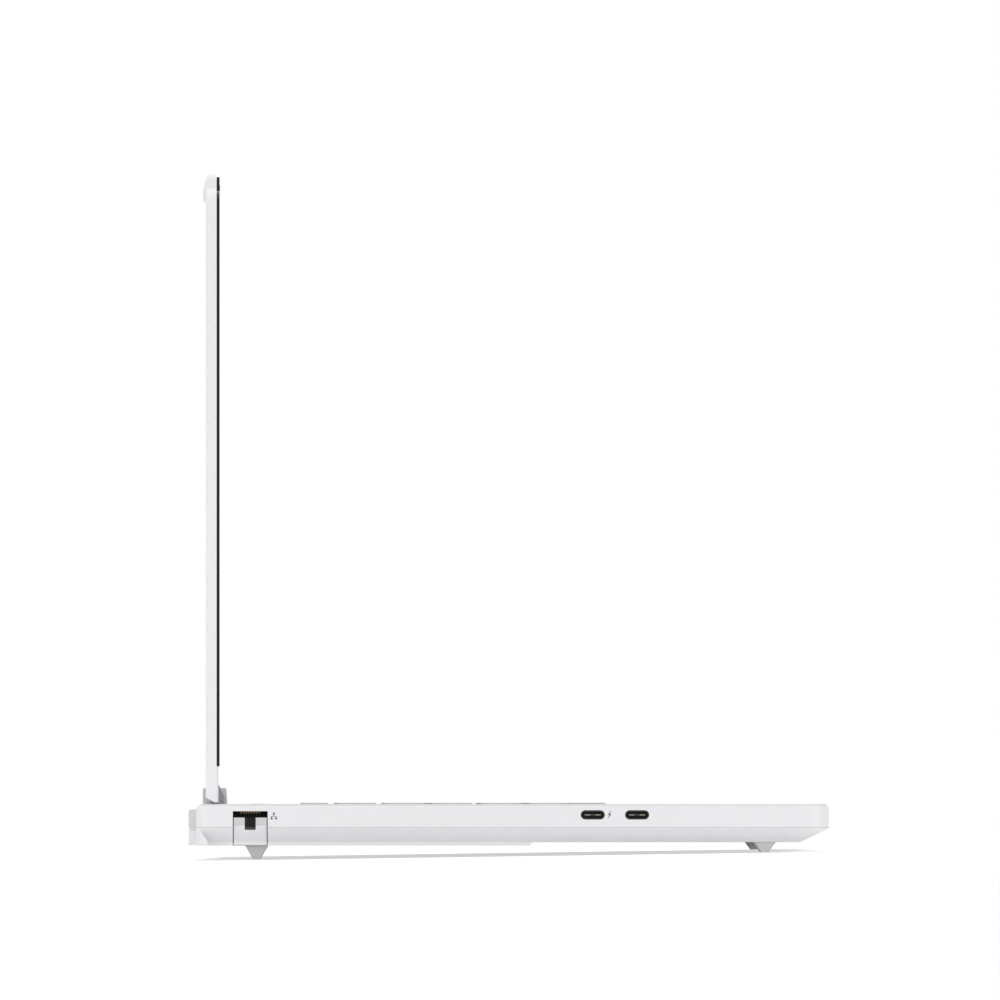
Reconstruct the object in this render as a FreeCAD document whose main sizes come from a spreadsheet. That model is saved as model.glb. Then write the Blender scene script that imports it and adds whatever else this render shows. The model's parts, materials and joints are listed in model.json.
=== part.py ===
import FreeCAD, Part
import math
import os
import re
import Sketcher

# A 16-inch laptop computer. Every piece is drawn in the frame of its deck: X to the user's right,
# Y from the front edge to the back, Z up from the flat of the bottom cover. At the end the whole
# assembly is tilted to stand on its feet, with the origin on the table under its middle.

Vector = FreeCAD.Vector
DOC = FreeCAD.newDocument("laptop")
SHEET = DOC.addObject("Spreadsheet::Sheet", "Sizes")
SUBPARTS = []

# Two coordinates closer than this are the same place
CLOSE = 0.01

# Driving dimensions in millimetres, with angles in degrees
SIZES = {
    "base_width": 356.0,
    "base_depth": 247.0,
    "deck_height": 14.9,
    "seam_height": 5.9,
    "lip_height": 0.4,
    "deck_thickness": 1.4,
    "side_wall": 2.0,
    "floor_plate": 1.2,
    "front_corner": 8.0,
    "rear_corner": 4.5,
    "rear_top_round": 2.7,
    "deck_edge_round": 0.5,
    "front_top_round": 2.0,
    "side_bevel_run": 6.5,
    "front_bevel_run": 11.2,
    "bulge_drop": 1.33,
    "bulge_front": 115.2,
    "bulge_slope": 1.5,
    "corner_block_top": 1.2,
    "corner_block_foot": 4.7,
    "rear_trim_depth": 2.85,
    "rear_trim_width": 344.0,
    "rear_trim_top": 12.75,
    "rear_trim_foot": 1.1,
    "rear_trim_split": 0.2,
    "trim_joint_drop": 1.0,
    "rear_trim_round": 0.8,
    "exhaust_start": 62.0,
    "exhaust_pitch": 6.0,
    "exhaust_slot": 3.8,
    "exhaust_count": 12,
    "exhaust_top": 9.8,
    "exhaust_bottom": 2.4,
    "exhaust_border": 0.7,
    "key_pitch": 18.0,
    "row_pitch": 18.75,
    "key_gap": 3.1,
    "pad_pitch": 15.5,
    "pad_gap": 2.0,
    "control_row_y": 109.5,
    "function_row_step": 16.0,
    "function_key_depth": 10.1,
    "arrow_row_step": 16.5,
    "arrow_key_depth": 15.0,
    "key_rise": 0.45,
    "key_height": 2.2,
    "key_corner": 1.5,
    "key_clearance": 0.4,
    "window_margin": 1.8,
    "window_clearance": 0.15,
    "web_thickness": 1.2,
    "web_drop": 0.1,
    "frame_skirt": 1.0,
    "keyboard_depth": 3.9,
    "plate_thickness": 0.8,
    "plate_flange": 3.0,
    "dome_sheet": 0.3,
    "dome_radius": 2.6,
    "dome_clearance": 0.1,
    "touchpad_centre": -36.5,
    "touchpad_width": 125.0,
    "touchpad_depth": 74.0,
    "touchpad_front": 7.0,
    "touchpad_thickness": 1.6,
    "touchpad_gap": 0.4,
    "touchpad_corner": 2.0,
    "tray_wall": 3.0,
    "tray_play": 1.0,
    "tray_floor": 0.8,
    "tray_depth": 2.3,
    "tray_rib": 4.0,
    "touchpad_rest": 0.3,
    "button_y": 222.0,
    "button_width": 18.0,
    "button_depth": 5.0,
    "button_gap": 0.25,
    "button_rise": 0.1,
    "button_flange": 1.0,
    "button_flange_height": 0.8,
    "button_rest": 0.3,
    "hinge_axis_y": 238.6,
    "hinge_axis_rise": 1.9,
    "hinge_inner": 111.0,
    "hinge_cover_length": 34.4,
    "hinge_cover_front": 3.9,
    "hinge_cover_back": 5.7,
    "hinge_cover_top": 4.4,
    "hinge_cover_slope": 0.4,
    "hinge_cover_wall": 1.1,
    "hinge_cover_round": 0.8,
    "hinge_end_gap": 0.6,
    "hinge_opening_inset": 0.4,
    "knuckle_width": 6.0,
    "knuckle_radius": 2.8,
    "shaft_radius": 1.4,
    "shaft_play": 0.05,
    "shaft_hole_play": 0.4,
    "barrel_radius": 2.3,
    "barrel_inset": 3.0,
    "bracket_plate": 1.2,
    "bracket_reach": 24.0,
    "trough_play": 0.6,
    "open_angle": 30.0,
    "lid_swing_gap": 0.2,
    "lid_thickness": 5.4,
    "glass_front_offset": 0.85,
    "glass_thickness": 1.16,
    "glass_inset": 1.2,
    "lid_front_inset": 0.2,
    "lid_wall": 1.2,
    "lid_rim": 2.5,
    "lid_corner": 8.0,
    "lid_edge_round": 0.9,
    "chin_front": 0.4,
    "chin_bottom": 1.25,
    "chin_top": 12.8,
    "chin_inset": 0.6,
    "notch_top": 7.6,
    "arm_top": 60.0,
    "arm_thickness": 1.1,
    "arm_start": 8.6,
    "bar_width": 96.0,
    "bar_rise": 7.2,
    "bar_bulge": 1.0,
    "bar_drop": 3.6,
    "bar_slope": 1.0,
    "bar_end_round": 3.0,
    "panel_thickness": 1.7,
    "panel_border": 3.2,
    "camera_width": 60.0,
    "camera_height": 5.0,
    "camera_depth": 2.4,
    "camera_lens_radius": 1.6,
    "front_foot_y": 25.0,
    "front_foot_drop": 3.86,
    "front_foot_end": 164.0,
    "front_foot_length": 36.0,
    "front_foot_width": 8.7,
    "rear_foot_y": 223.2,
    "rear_foot_drop": 6.67,
    "rear_foot_end": 159.0,
    "rear_foot_length": 110.0,
    "rear_foot_width": 9.0,
    "foot_sole": 3.0,
    "foot_end_round": 0.5,
    "jack_y": 225.8,
    "jack_width": 13.6,
    "jack_top": 12.1,
    "jack_wall": 1.2,
    "jack_depth": 15.5,
    "jack_setback": 0.2,
    "jack_base_depth": 10.0,
    "jaw_gap": 0.35,
    "jaw_top": 9.6,
    "jaw_knee": 6.7,
    "jaw_inset": 0.3,
    "jaw_plate": 1.6,
    "jaw_foot_wall": 1.28,
    "jaw_knee_wall": 0.64,
    "jaw_foot": 0.2,
    "jaw_drop": 1.1,
    "jaw_notch_width": 4.3,
    "jaw_notch_depth": 4.8,
    "jaw_pivot_x": 14.4,
    "jaw_pivot_z": 1.8,
    "jaw_boss": 1.5,
    "jaw_pin_radius": 0.7,
    "jaw_pin_play": 0.05,
    "contact_pitch": 1.02,
    "contact_width": 0.5,
    "contact_thickness": 0.8,
    "contact_drop": 0.9,
    "contact_reach": 9.0,
    "contact_count": 8,
    "usb_c_z": 10.65,
    "usb_c_front_y": 74.9,
    "usb_c_rear_y": 92.2,
    "usb_c_width": 8.94,
    "usb_c_height": 3.16,
    "usb_c_wall": 0.3,
    "usb_c_length": 8.0,
    "usb_c_margin": 0.23,
    "usb_c_tongue_width": 6.7,
    "usb_c_tongue": 0.7,
    "usb_c_tongue_length": 4.6,
    "usb_c_recess": 0.4,
    "usb_a_z": 9.3,
    "usb_a_front_y": 71.5,
    "usb_a_rear_y": 88.0,
    "usb_a_width": 13.1,
    "usb_a_height": 5.7,
    "usb_a_wall": 0.4,
    "usb_a_length": 14.0,
    "usb_a_margin": 0.25,
    "usb_a_tongue": 1.9,
    "usb_a_tongue_gap": 0.6,
    "audio_y": 58.5,
    "audio_nose": 2.9,
    "audio_bore": 1.8,
    "audio_length": 13.0,
    "audio_width": 6.4,
    "audio_margin": 0.2,
    "board_thickness": 1.2,
    "board_front": 112.0,
    "board_shoulder": 148.0,
    "board_rear": 229.0,
    "board_half": 160.0,
    "board_core": 55.0,
    "wing_inner": 141.0,
    "wing_rear": 235.0,
    "standoff_height": 2.6,
    "standoff_radius": 2.2,
    "standoff_edge": 5.4,
    "socket_board": 1.0,
    "socket_board_depth": 36.0,
    "post_radius": 2.0,
    "post_inset": 30.0,
    "package_height": 1.4,
    "processor_width": 36.0,
    "processor_depth": 25.0,
    "processor_y": 176.0,
    "graphics_size": 34.0,
    "graphics_y": 208.0,
    "cold_plate_half": 27.0,
    "cold_plate_height": 1.6,
    "pipe_width": 9.0,
    "pipe_height": 2.4,
    "pipe_bend": 44.0,
    "pipe_rear_y": 237.6,
    "pipe_end": 132.0,
    "pipe_start": 21.6,
    "pipe_inner_round": 5.0,
    "sink_front": 231.4,
    "sink_rear_gap": 0.6,
    "sink_height": 6.0,
    "sink_fin": 0.6,
    "sink_plate": 0.6,
    "fan_x": 98.0,
    "fan_y": 190.0,
    "fan_radius": 38.0,
    "fan_height": 8.2,
    "fan_wall": 1.0,
    "fan_mouth_gap": 0.4,
    "fan_tip_gap": 1.5,
    "fan_intake": 23.0,
    "fan_boss": 10.0,
    "fan_spoke": 4.0,
    "fan_hub": 12.0,
    "fan_hub_rest": 0.3,
    "fan_shaft": 1.5,
    "fan_play": 0.05,
    "fan_blades": 31,
    "fan_blade": 0.7,
    "fan_blade_sweep": 9.0,
    "intake_slot": 2.0,
    "intake_pitch": 4.5,
    "intake_length": 56.0,
    "intake_count": 12,
    "intake_front": 160.0,
    "battery_half": 100.0,
    "battery_front": 18.0,
    "battery_depth": 74.0,
    "battery_height": 6.4,
    "battery_groove": 1.0,
    "battery_groove_depth": 1.2,
    "battery_cells": 4,
    "speaker_inner": 108.0,
    "speaker_width": 54.0,
    "speaker_front": 19.0,
    "speaker_depth": 30.0,
    "speaker_height": 7.0,
    "speaker_round": 2.0,
    "speaker_slot": 1.6,
    "speaker_slot_length": 34.0,
    "speaker_slot_pitch": 3.6,
    "speaker_slot_count": 4,
    "module_gap": 1.0,
    "module_thickness": 1.0,
    "module_front": 116.0,
    "memory_width": 68.0,
    "memory_depth": 28.0,
    "storage_length": 78.0,
    "storage_width": 22.0,
    "wireless_width": 22.0,
    "wireless_depth": 28.0,
    "connector_depth": 4.0,
    "screw_front_y": 14.4,
    "screw_rear_y": 240.0,
    "screw_outer_x": 156.0,
    "screw_inner_x": 110.0,
    "screw_head": 2.1,
    "screw_head_height": 0.8,
    "screw_shank": 1.0,
    "screw_length": 6.0,
    "screw_play": 0.1,
    "boss_radius": 2.3,
}

for line, (alias, number) in enumerate(SIZES.items(), 1):
    SHEET.set(f"A{line}", alias)
    SHEET.set(f"B{line}", str(number))
    SHEET.setAlias(f"B{line}", alias)
DOC.recompute()


# Expressions on the sheet
def expression(text):
    """Write the sheet's name before each of its aliases in a plain formula."""
    return re.sub(r"[a-z][a-z_]*", lambda m: f"Sizes.{m[0]}" if m[0] in SIZES else m[0], text)


def value(text):
    """Work out a formula as a plain number."""
    return float(SHEET.evalExpression(expression(text)))


def bind(item, prop, text):
    """Tie a property of an object to a formula on the sheet."""
    item.setExpression(prop, expression(text))


def total(*terms):
    """Add formulas, each in its own brackets."""
    return " + ".join(f"({term})" for term in terms)


def minus(first, *terms):
    """Take formulas away from the first one, each in its own brackets."""
    return " - ".join(f"({term})" for term in (first, *terms))


# Outlines for sketches: each returns a function that draws one closed loop
def pin_point(sketch, index, place, point):
    """Fix one point of a sketch at the two formulas of point."""
    for kind, text in zip(("DistanceX", "DistanceY"), point):
        number = sketch.addConstraint(Sketcher.Constraint(kind, -1, 1, index, place, value(text)))
        bind(sketch, f"Constraints[{number}]", text)


def arc_between(start, end, radius):
    """A minor arc from start to end; a positive radius bulges to the left of the way."""
    chord = end - start
    middle = (start + end) * 0.5
    side = Vector(-chord.y, chord.x, 0).normalize()
    height = abs(radius) - math.sqrt(radius * radius - chord.Length ** 2 / 4)
    top = middle + side * math.copysign(height, radius)
    return Part.Arc(start, top, end)


def polygon(*points, arcs=None):
    """A closed loop through points; arcs gives the radius of a side that is round, by its number."""
    arcs = arcs or {}

    def draw(sketch):
        first = sketch.GeometryCount
        spots = [Vector(value(x), value(y), 0) for x, y in points]
        count = len(spots)
        for side in range(count):
            start, end = spots[side], spots[(side + 1) % count]
            if side in arcs:
                sketch.addGeometry(arc_between(start, end, value(arcs[side])), False)
            else:
                sketch.addGeometry(Part.LineSegment(start, end), False)
        lines = [side for side in range(count) if side not in arcs]
        for side in lines:
            following = (side + 1) % count
            pin_point(sketch, first + side, 1, points[side])
            if following in arcs:
                pin_point(sketch, first + side, 2, points[following])
            else:
                sketch.addConstraint(Sketcher.Constraint("Coincident", first + side, 2, first + following, 1))
        for side in arcs:
            turned = value(arcs[side]) > 0
            ends = (2, 1) if turned else (1, 2)
            before, after = (side - 1) % count, (side + 1) % count
            arc = first + side
            sketch.addConstraint(Sketcher.Constraint("Coincident", arc, ends[0], first + before, 2))
            sketch.addConstraint(Sketcher.Constraint("Coincident", arc, ends[1], first + after, 1))
            number = sketch.addConstraint(Sketcher.Constraint("Radius", arc, abs(value(arcs[side]))))
            bind(sketch, f"Constraints[{number}]", f"abs({arcs[side]})")
    return draw


def rectangle(left, low, right, high):
    """A closed rectangle between two corners."""
    return polygon((left, low), (right, low), (right, high), (left, high))


def circle(across, along, radius):
    """A circle about a point."""
    def draw(sketch):
        centre = Vector(value(across), value(along), 0)
        index = sketch.addGeometry(Part.Circle(centre, Vector(0, 0, 1), value(radius)), False)
        pin_point(sketch, index, 3, (across, along))
        number = sketch.addConstraint(Sketcher.Constraint("Radius", index, value(radius)))
        bind(sketch, f"Constraints[{number}]", radius)
    return draw


def stadium(across, along, width, height):
    """A flat-sided oval of a given width and height about a point."""
    left, right = minus(across, f"({width} - {height}) / 2"), total(across, f"({width} - {height}) / 2")
    low, high = minus(along, f"{height} / 2"), total(along, f"{height} / 2")

    def draw(sketch):
        radius = value(f"{height} / 2")
        corners = (left, low), (right, low), (right, high), (left, high)
        spots = [Vector(value(x), value(y), 0) for x, y in corners]
        middle = value(along)
        outer_right = Vector(spots[1].x + radius, middle, 0)
        outer_left = Vector(spots[0].x - radius, middle, 0)
        bottom = sketch.addGeometry(Part.LineSegment(spots[0], spots[1]), False)
        end = sketch.addGeometry(Part.Arc(spots[1], outer_right, spots[2]), False)
        top = sketch.addGeometry(Part.LineSegment(spots[2], spots[3]), False)
        start = sketch.addGeometry(Part.Arc(spots[3], outer_left, spots[0]), False)
        pin_point(sketch, bottom, 1, (left, low))
        pin_point(sketch, bottom, 2, (right, low))
        pin_point(sketch, top, 1, (right, high))
        pin_point(sketch, top, 2, (left, high))
        for line, arc, after, middle_x in ((bottom, end, top, right), (top, start, bottom, left)):
            sketch.addConstraint(Sketcher.Constraint("Coincident", line, 2, arc, 1))
            sketch.addConstraint(Sketcher.Constraint("Coincident", arc, 2, after, 1))
            number = sketch.addConstraint(Sketcher.Constraint("DistanceX", -1, 1, arc, 3, value(middle_x)))
            bind(sketch, f"Constraints[{number}]", middle_x)
    return draw


# Bodies and their features
def plain_body(label):
    """An empty body that becomes part of something else."""
    body = DOC.addObject("PartDesign::Body", label)
    body.Label = label
    return body


def new_body(label):
    """An empty body that is one sub-part."""
    body = plain_body(label)
    SUBPARTS.append(body)
    return body


def origin_of(body, role):
    """The plane or axis of a body's origin with this role."""
    return next(item for item in body.Origin.OriginFeatures if item.Role == role)


def make_sketch(body, plane, offset, loops):
    """A sketch on one of the body's origin planes, moved along the plane's normal."""
    sketch = body.newObject("Sketcher::SketchObject", f"{body.Label}_outline")
    sketch.AttachmentSupport = [(origin_of(body, plane), "")]
    sketch.MapMode = "FlatFace"
    bind(sketch, "AttachmentOffset.Base.z", offset)
    for draw in loops:
        draw(sketch)
    return sketch


def shape_feature(body, kind, sketch, length, symmetric, reverse):
    """Pad or pocket a sketch, and make sure that material came or went."""
    before = body.Shape.Volume if body.Shape.Solids else 0.0
    item = body.newObject(f"PartDesign::{kind}", f"{body.Label}_{kind.lower()}")
    item.Profile = sketch
    item.Reversed = reverse
    if symmetric:
        item.SideType = "Symmetric"
    if length is None:
        item.Type = "ThroughAll"
    else:
        bind(item, "Length", length)
    DOC.recompute()
    change = body.Shape.Volume - before
    if (change > 0) != (kind == "Pad") or abs(change) < 1e-6:
        raise ValueError(f"{item.Name} changes the volume of {body.Label} by {change}")
    return item


def pad(body, plane, offset, loops, length, symmetric=False, reverse=False):
    """Add a prism on the plane's normal."""
    sketch = make_sketch(body, plane, offset, loops)
    return shape_feature(body, "Pad", sketch, length, symmetric, reverse)


def pocket(body, plane, offset, loops, length=None, symmetric=False, reverse=False):
    """Cut a prism against the plane's normal, right through where no length is given."""
    sketch = make_sketch(body, plane, offset, loops)
    return shape_feature(body, "Pocket", sketch, length, symmetric, reverse)


def loft_cut(body, low, low_loop, high, high_loop):
    """Cut the straight-sided form between two level outlines."""
    before = body.Shape.Volume
    profile = make_sketch(body, "XY_Plane", low, [low_loop])
    section = make_sketch(body, "XY_Plane", high, [high_loop])
    item = body.newObject("PartDesign::SubtractiveLoft", f"{body.Label}_hollow")
    item.Profile = profile
    item.Sections = [section]
    item.Ruled = True
    DOC.recompute()
    if body.Shape.Volume >= before:
        raise ValueError(f"{item.Name} cuts nothing")


def repeat(body, feature, role, extent, count):
    """Repeat a feature in a row along one of the body's axes."""
    before = body.Shape.Volume
    row = body.newObject("PartDesign::LinearPattern", f"{body.Label}_row")
    row.Originals = [feature]
    row.Direction = (origin_of(body, role), [""])
    bind(row, "Length", extent)
    bind(row, "Occurrences", count)
    body.Tip = row
    DOC.recompute()
    if abs(body.Shape.Volume - before) < 1e-6:
        raise ValueError(f"{row.Name} repeats nothing")


def soften(body, kind, size, chosen):
    """Round or bevel the edges whose box passes the test."""
    base = body.Tip
    names = [f"Edge{n}" for n, edge in enumerate(base.Shape.Edges, 1) if chosen(edge.BoundBox)]
    if not names:
        raise ValueError(f"no edge of {body.Label} to soften by {size}")
    item = body.newObject(f"PartDesign::{kind}", f"{body.Label}_{kind.lower()}")
    item.Base = (base, names)
    bind(item, "Radius" if kind == "Fillet" else "Size", size)
    DOC.recompute()


def runs_along(box, axis):
    """Whether an edge's box is a straight line along one axis."""
    lengths = {"X": box.XLength, "Y": box.YLength, "Z": box.ZLength}
    return lengths.pop(axis) > CLOSE and max(lengths.values()) < CLOSE


# Plain blocks, rods and their joins
def block(name, across, along, up):
    """A box between three pairs of formulas."""
    item = DOC.addObject("Part::Box", name)
    for prop, letter, (low, high) in zip(("Length", "Width", "Height"), "xyz", (across, along, up)):
        bind(item, prop, minus(high, low))
        bind(item, f"Placement.Base.{letter}", low)
    return item


def rod(name, start, radius, length, axis="Z"):
    """A cylinder from start along an axis."""
    turns = {"X": (Vector(0, 1, 0), 90), "Y": (Vector(1, 0, 0), -90), "Z": (Vector(0, 0, 1), 0)}
    item = DOC.addObject("Part::Cylinder", name)
    item.Placement = FreeCAD.Placement(Vector(), FreeCAD.Rotation(*turns[axis]))
    bind(item, "Radius", radius)
    bind(item, "Height", length)
    for letter, text in zip("xyz", start):
        bind(item, f"Placement.Base.{letter}", text)
    return item


def joined(name, items):
    """One solid from several that meet."""
    item = DOC.addObject("Part::MultiFuse", name)
    item.Shapes = items
    item.Refine = True
    return item


def gathered(name, items):
    """Several solids held together as they are."""
    item = DOC.addObject("Part::Compound", name)
    item.Links = items
    return item


def cut(name, base, tools):
    """A solid with others taken out of it."""
    item = DOC.addObject("Part::Cut", name)
    item.Base = base
    item.Tool = tools[0] if len(tools) == 1 else gathered(f"{name}_tools", tools)
    return item


def rounded(name, base, radius, numbers):
    """A solid with some of its edges rounded."""
    item = DOC.addObject("Part::Fillet", name)
    item.Base = base
    item.Edges = [(number, value(radius), value(radius)) for number in numbers]
    return item


def subpart(label, items):
    """Put finished solids together as one named sub-part."""
    item = gathered(label, items)
    item.Label = label
    SUBPARTS.append(item)


UPRIGHT_EDGES = (1, 3, 5, 7)
LEFT, RIGHT = -1, 1
SIDES = {"left": LEFT, "right": RIGHT}


def span(side, near, far):
    """The X range of a piece from near to far of the middle, on one side."""
    return (near, far) if side == RIGHT else (f"-({far})", f"-({near})")


# Levels and lines that several pieces share
HALF = "(base_width / 2)"
DECK_UNDER = "(deck_height - deck_thickness)"
BULGE_FLOOR = "(floor_plate - bulge_drop)"
AXIS_Z = "(deck_height + hinge_axis_rise)"
PLATE_TOP = "(deck_height - keyboard_depth)"
PLATE_UNDER = minus(PLATE_TOP, "plate_thickness")
BOARD_TOP = minus(PLATE_UNDER, "standoff_height")
BOARD_UNDER = minus(BOARD_TOP, "board_thickness")
PACKAGE_UNDER = minus(BOARD_UNDER, "package_height")
COLD_UNDER = minus(PACKAGE_UNDER, "cold_plate_height")
PIPE_UNDER = minus(COLD_UNDER, "pipe_height")
USB_C_BOARD = "(usb_c_z - usb_c_height / 2)"
USB_A_BOARD = "(usb_a_z - usb_a_height / 2)"
TRIM_JOINT = "(seam_height - trim_joint_drop)"

# Keyboard grid: columns of the main block, then the number pad's own narrower columns
MAIN_COLUMNS = 15
PAD_COLUMNS = 4
ARROW_COLUMN = 12
KEYS_LEFT = f"-({MAIN_COLUMNS} * key_pitch + pad_gap + {PAD_COLUMNS} * pad_pitch) / 2"
PAD_LEFT = f"{KEYS_LEFT} + {MAIN_COLUMNS} * key_pitch + pad_gap"
CAP_DEPTH = "(row_pitch - key_gap)"
FUNCTION_ROW_Y = "control_row_y + 4 * row_pitch + function_row_step"
ARROW_ROW_Y = "control_row_y - arrow_row_step"


def main_column(start, width=1):
    """The X range of a key in the main block, from its column and width in key units."""
    left = f"{KEYS_LEFT} + {start} * key_pitch + key_gap / 2"
    return left, f"{KEYS_LEFT} + {start + width} * key_pitch - key_gap / 2"


def pad_column(start, width=1):
    """The X range of a key in the number pad."""
    left = f"{PAD_LEFT} + {start} * pad_pitch + key_gap / 2"
    return left, f"{PAD_LEFT} + {start + width} * pad_pitch - key_gap / 2"


def row_range(row, rows=1):
    """The Y range of a key in a row counted from the control row, over one row or more."""
    front = f"control_row_y + {row} * row_pitch - {CAP_DEPTH} / 2"
    return front, f"control_row_y + {row + rows - 1} * row_pitch + {CAP_DEPTH} / 2"


def run_of_keys(widths, start=0.0):
    """Columns of neighbouring keys with the given widths in key units."""
    columns = []
    for width in widths:
        columns.append(main_column(start, width))
        start += width
    return columns


FUNCTION_ROW = (f"{FUNCTION_ROW_Y} - function_key_depth / 2", f"{FUNCTION_ROW_Y} + function_key_depth / 2")
ARROW_ROW = (f"{ARROW_ROW_Y} - arrow_key_depth / 2", f"{ARROW_ROW_Y} + arrow_key_depth / 2")
PAD_DIGITS = [pad_column(column) for column in range(3)]
CONTROL_WIDTHS = (1.25, 1, 1, 1.25)
SPACE_START = sum(CONTROL_WIDTHS)
SPACE_WIDTH = 5.5
KEYS = {
    "function_keys": [
        (column, FUNCTION_ROW)
        for column in run_of_keys([1] * 15) + [pad_column(column) for column in range(4)]
    ],
    "number_keys": [
        (column, row_range(4))
        for column in run_of_keys([1] * 13 + [2]) + [pad_column(column) for column in range(4)]
    ],
    "tab_row_keys": [
        (column, row_range(3)) for column in run_of_keys([1.5] + [1] * 12 + [1.5]) + PAD_DIGITS
    ],
    "caps_row_keys": [(column, row_range(2)) for column in run_of_keys([1.75] + [1] * 11) + PAD_DIGITS],
    "shift_row_keys": [
        (column, row_range(1)) for column in run_of_keys([2.25] + [1] * 10 + [2.75]) + PAD_DIGITS
    ],
    "control_row_keys": [
        (column, row_range(0))
        for column in run_of_keys(CONTROL_WIDTHS)
        + run_of_keys([1, 1], SPACE_START + SPACE_WIDTH)
        + [pad_column(0, 2), pad_column(2)]
    ],
    "space_bar": [(main_column(SPACE_START, SPACE_WIDTH), row_range(0))],
    "enter_key": [(main_column(12.75, 2.25), row_range(2))],
    "arrow_keys": [(main_column(ARROW_COLUMN + 1), row_range(0))]
    + [(main_column(ARROW_COLUMN + column), ARROW_ROW) for column in range(3)],
    "number_pad_plus": [(pad_column(3), row_range(2, 2))],
    "number_pad_enter": [(pad_column(3), row_range(0, 2))],
}


def keyboard_outline(margin):
    """The keyboard's outline with the arrow keys' step at its front, grown by a margin."""
    left = minus(main_column(0)[0], margin)
    right = total(pad_column(3)[1], margin)
    rear = total(FUNCTION_ROW[1], margin)
    front = minus(row_range(0)[0], margin)
    step_left = minus(main_column(ARROW_COLUMN)[0], margin)
    step_right = total(main_column(MAIN_COLUMNS - 1)[1], margin)
    step_front = minus(ARROW_ROW[0], margin)
    return polygon(
        (left, front), (step_left, front), (step_left, step_front), (step_right, step_front),
        (step_right, front), (right, front), (right, rear), (left, rear),
    )


# Places of the screws that hold the bottom cover
SCREW_ROWS = ("screw_front_y", "screw_rear_y")
SCREWS = [(f"{side} * screw_outer_x", row) for side in (LEFT, RIGHT) for row in SCREW_ROWS]
SCREWS += [(f"{side} * screw_inner_x", "screw_front_y") for side in (LEFT, RIGHT)]
SCREWS += [("0", "screw_rear_y")]


def exhaust_slots(body, offset, low, high, length, reverse):
    """Upright slots in two rows across the back, in line with the heat sinks."""
    for side in (LEFT, RIGHT):
        start, end = span(side, "exhaust_start", "exhaust_start + exhaust_slot")
        slot = pocket(body, "XZ_Plane", offset, [rectangle(start, low, end, high)], length, reverse=reverse)
        row = "exhaust_pitch * (exhaust_count - 1)"
        if side == RIGHT:
            repeat(body, slot, "X_Axis", row, "exhaust_count")
        else:
            repeat_backwards(body, slot, row)


def repeat_backwards(body, feature, extent):
    """Repeat a slot of the exhaust towards the left."""
    repeat(body, feature, "X_Axis", extent, "exhaust_count")
    body.Tip.Reversed = True
    DOC.recompute()


def hollow_outline(half, front):
    """The outline of the hollow inside the base, with its front corners cut off behind the round ones."""
    corner = "(front_corner - side_wall)"
    rear = "base_depth - side_wall"
    return polygon(
        (f"{corner} - ({half})", front), (f"{half} - {corner}", front), (half, f"{front} + {corner}"),
        (half, rear), (f"-({half})", rear), (f"-({half})", f"{front} + {corner}"),
    )


# Top case: deck and side walls in one piece, with the openings for keys, touchpad and sockets
def make_top_case():
    case = new_body("top_case")
    footprint = rectangle(f"-{HALF}", "0", HALF, "base_depth")
    pad(case, "XY_Plane", "seam_height", [footprint], "deck_height - seam_height")
    middle = value("base_depth / 2")
    soften(case, "Fillet", "front_corner", lambda box: runs_along(box, "Z") and box.YMax < middle)
    soften(case, "Fillet", "rear_corner", lambda box: runs_along(box, "Z") and box.YMin > middle)
    deck = value("deck_height")
    soften(case, "Fillet", "deck_edge_round", lambda box: box.ZMin > deck - CLOSE)
    front_top = polygon(
        ("0", "deck_height - front_top_round"), ("front_top_round", "deck_height"),
        ("front_top_round", "deck_height + front_top_round"),
        ("-front_top_round", "deck_height + front_top_round"),
        ("-front_top_round", "deck_height - front_top_round"),
        arcs={0: "front_top_round"},
    )
    pocket(case, "YZ_Plane", "0", [front_top], "2 * base_width", symmetric=True)
    rear_top = polygon(
        ("base_depth - rear_top_round", "deck_height"), ("base_depth", "deck_height - rear_top_round"),
        ("base_depth + rear_top_round", "deck_height - rear_top_round"),
        ("base_depth + rear_top_round", "deck_height + rear_top_round"),
        ("base_depth - rear_top_round", "deck_height + rear_top_round"),
        arcs={0: "rear_top_round"},
    )
    pocket(case, "YZ_Plane", "0", [rear_top], "2 * base_width", symmetric=True)
    inside = hollow_outline(f"{HALF} - side_wall", "side_wall")
    pocket(case, "XY_Plane", "seam_height", [inside], minus(DECK_UNDER, "seam_height"), reverse=True)
    rim = [keyboard_outline("window_margin + plate_flange"), keyboard_outline("window_margin")]
    pad(case, "XY_Plane", DECK_UNDER, rim, minus(DECK_UNDER, PLATE_TOP), reverse=True)
    pocket(case, "XY_Plane", "deck_height", [keyboard_outline("window_margin")])
    touchpad = rectangle(
        "touchpad_centre - touchpad_width / 2 - touchpad_gap", "touchpad_front - touchpad_gap",
        "touchpad_centre + touchpad_width / 2 + touchpad_gap",
        "touchpad_front + touchpad_depth + touchpad_gap",
    )
    pocket(case, "XY_Plane", "deck_height", [touchpad])
    button = stadium("0", "button_y", "(button_width + 2 * button_gap)", "(button_depth + 2 * button_gap)")
    pocket(case, "XY_Plane", "deck_height", [button])
    cut_hinge_openings(case)
    cut_side_sockets(case)
    exhaust_slots(
        case, "-base_depth", "seam_height + exhaust_border", "exhaust_top", "side_wall + exhaust_border", True
    )
    add_posts(case)


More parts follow.
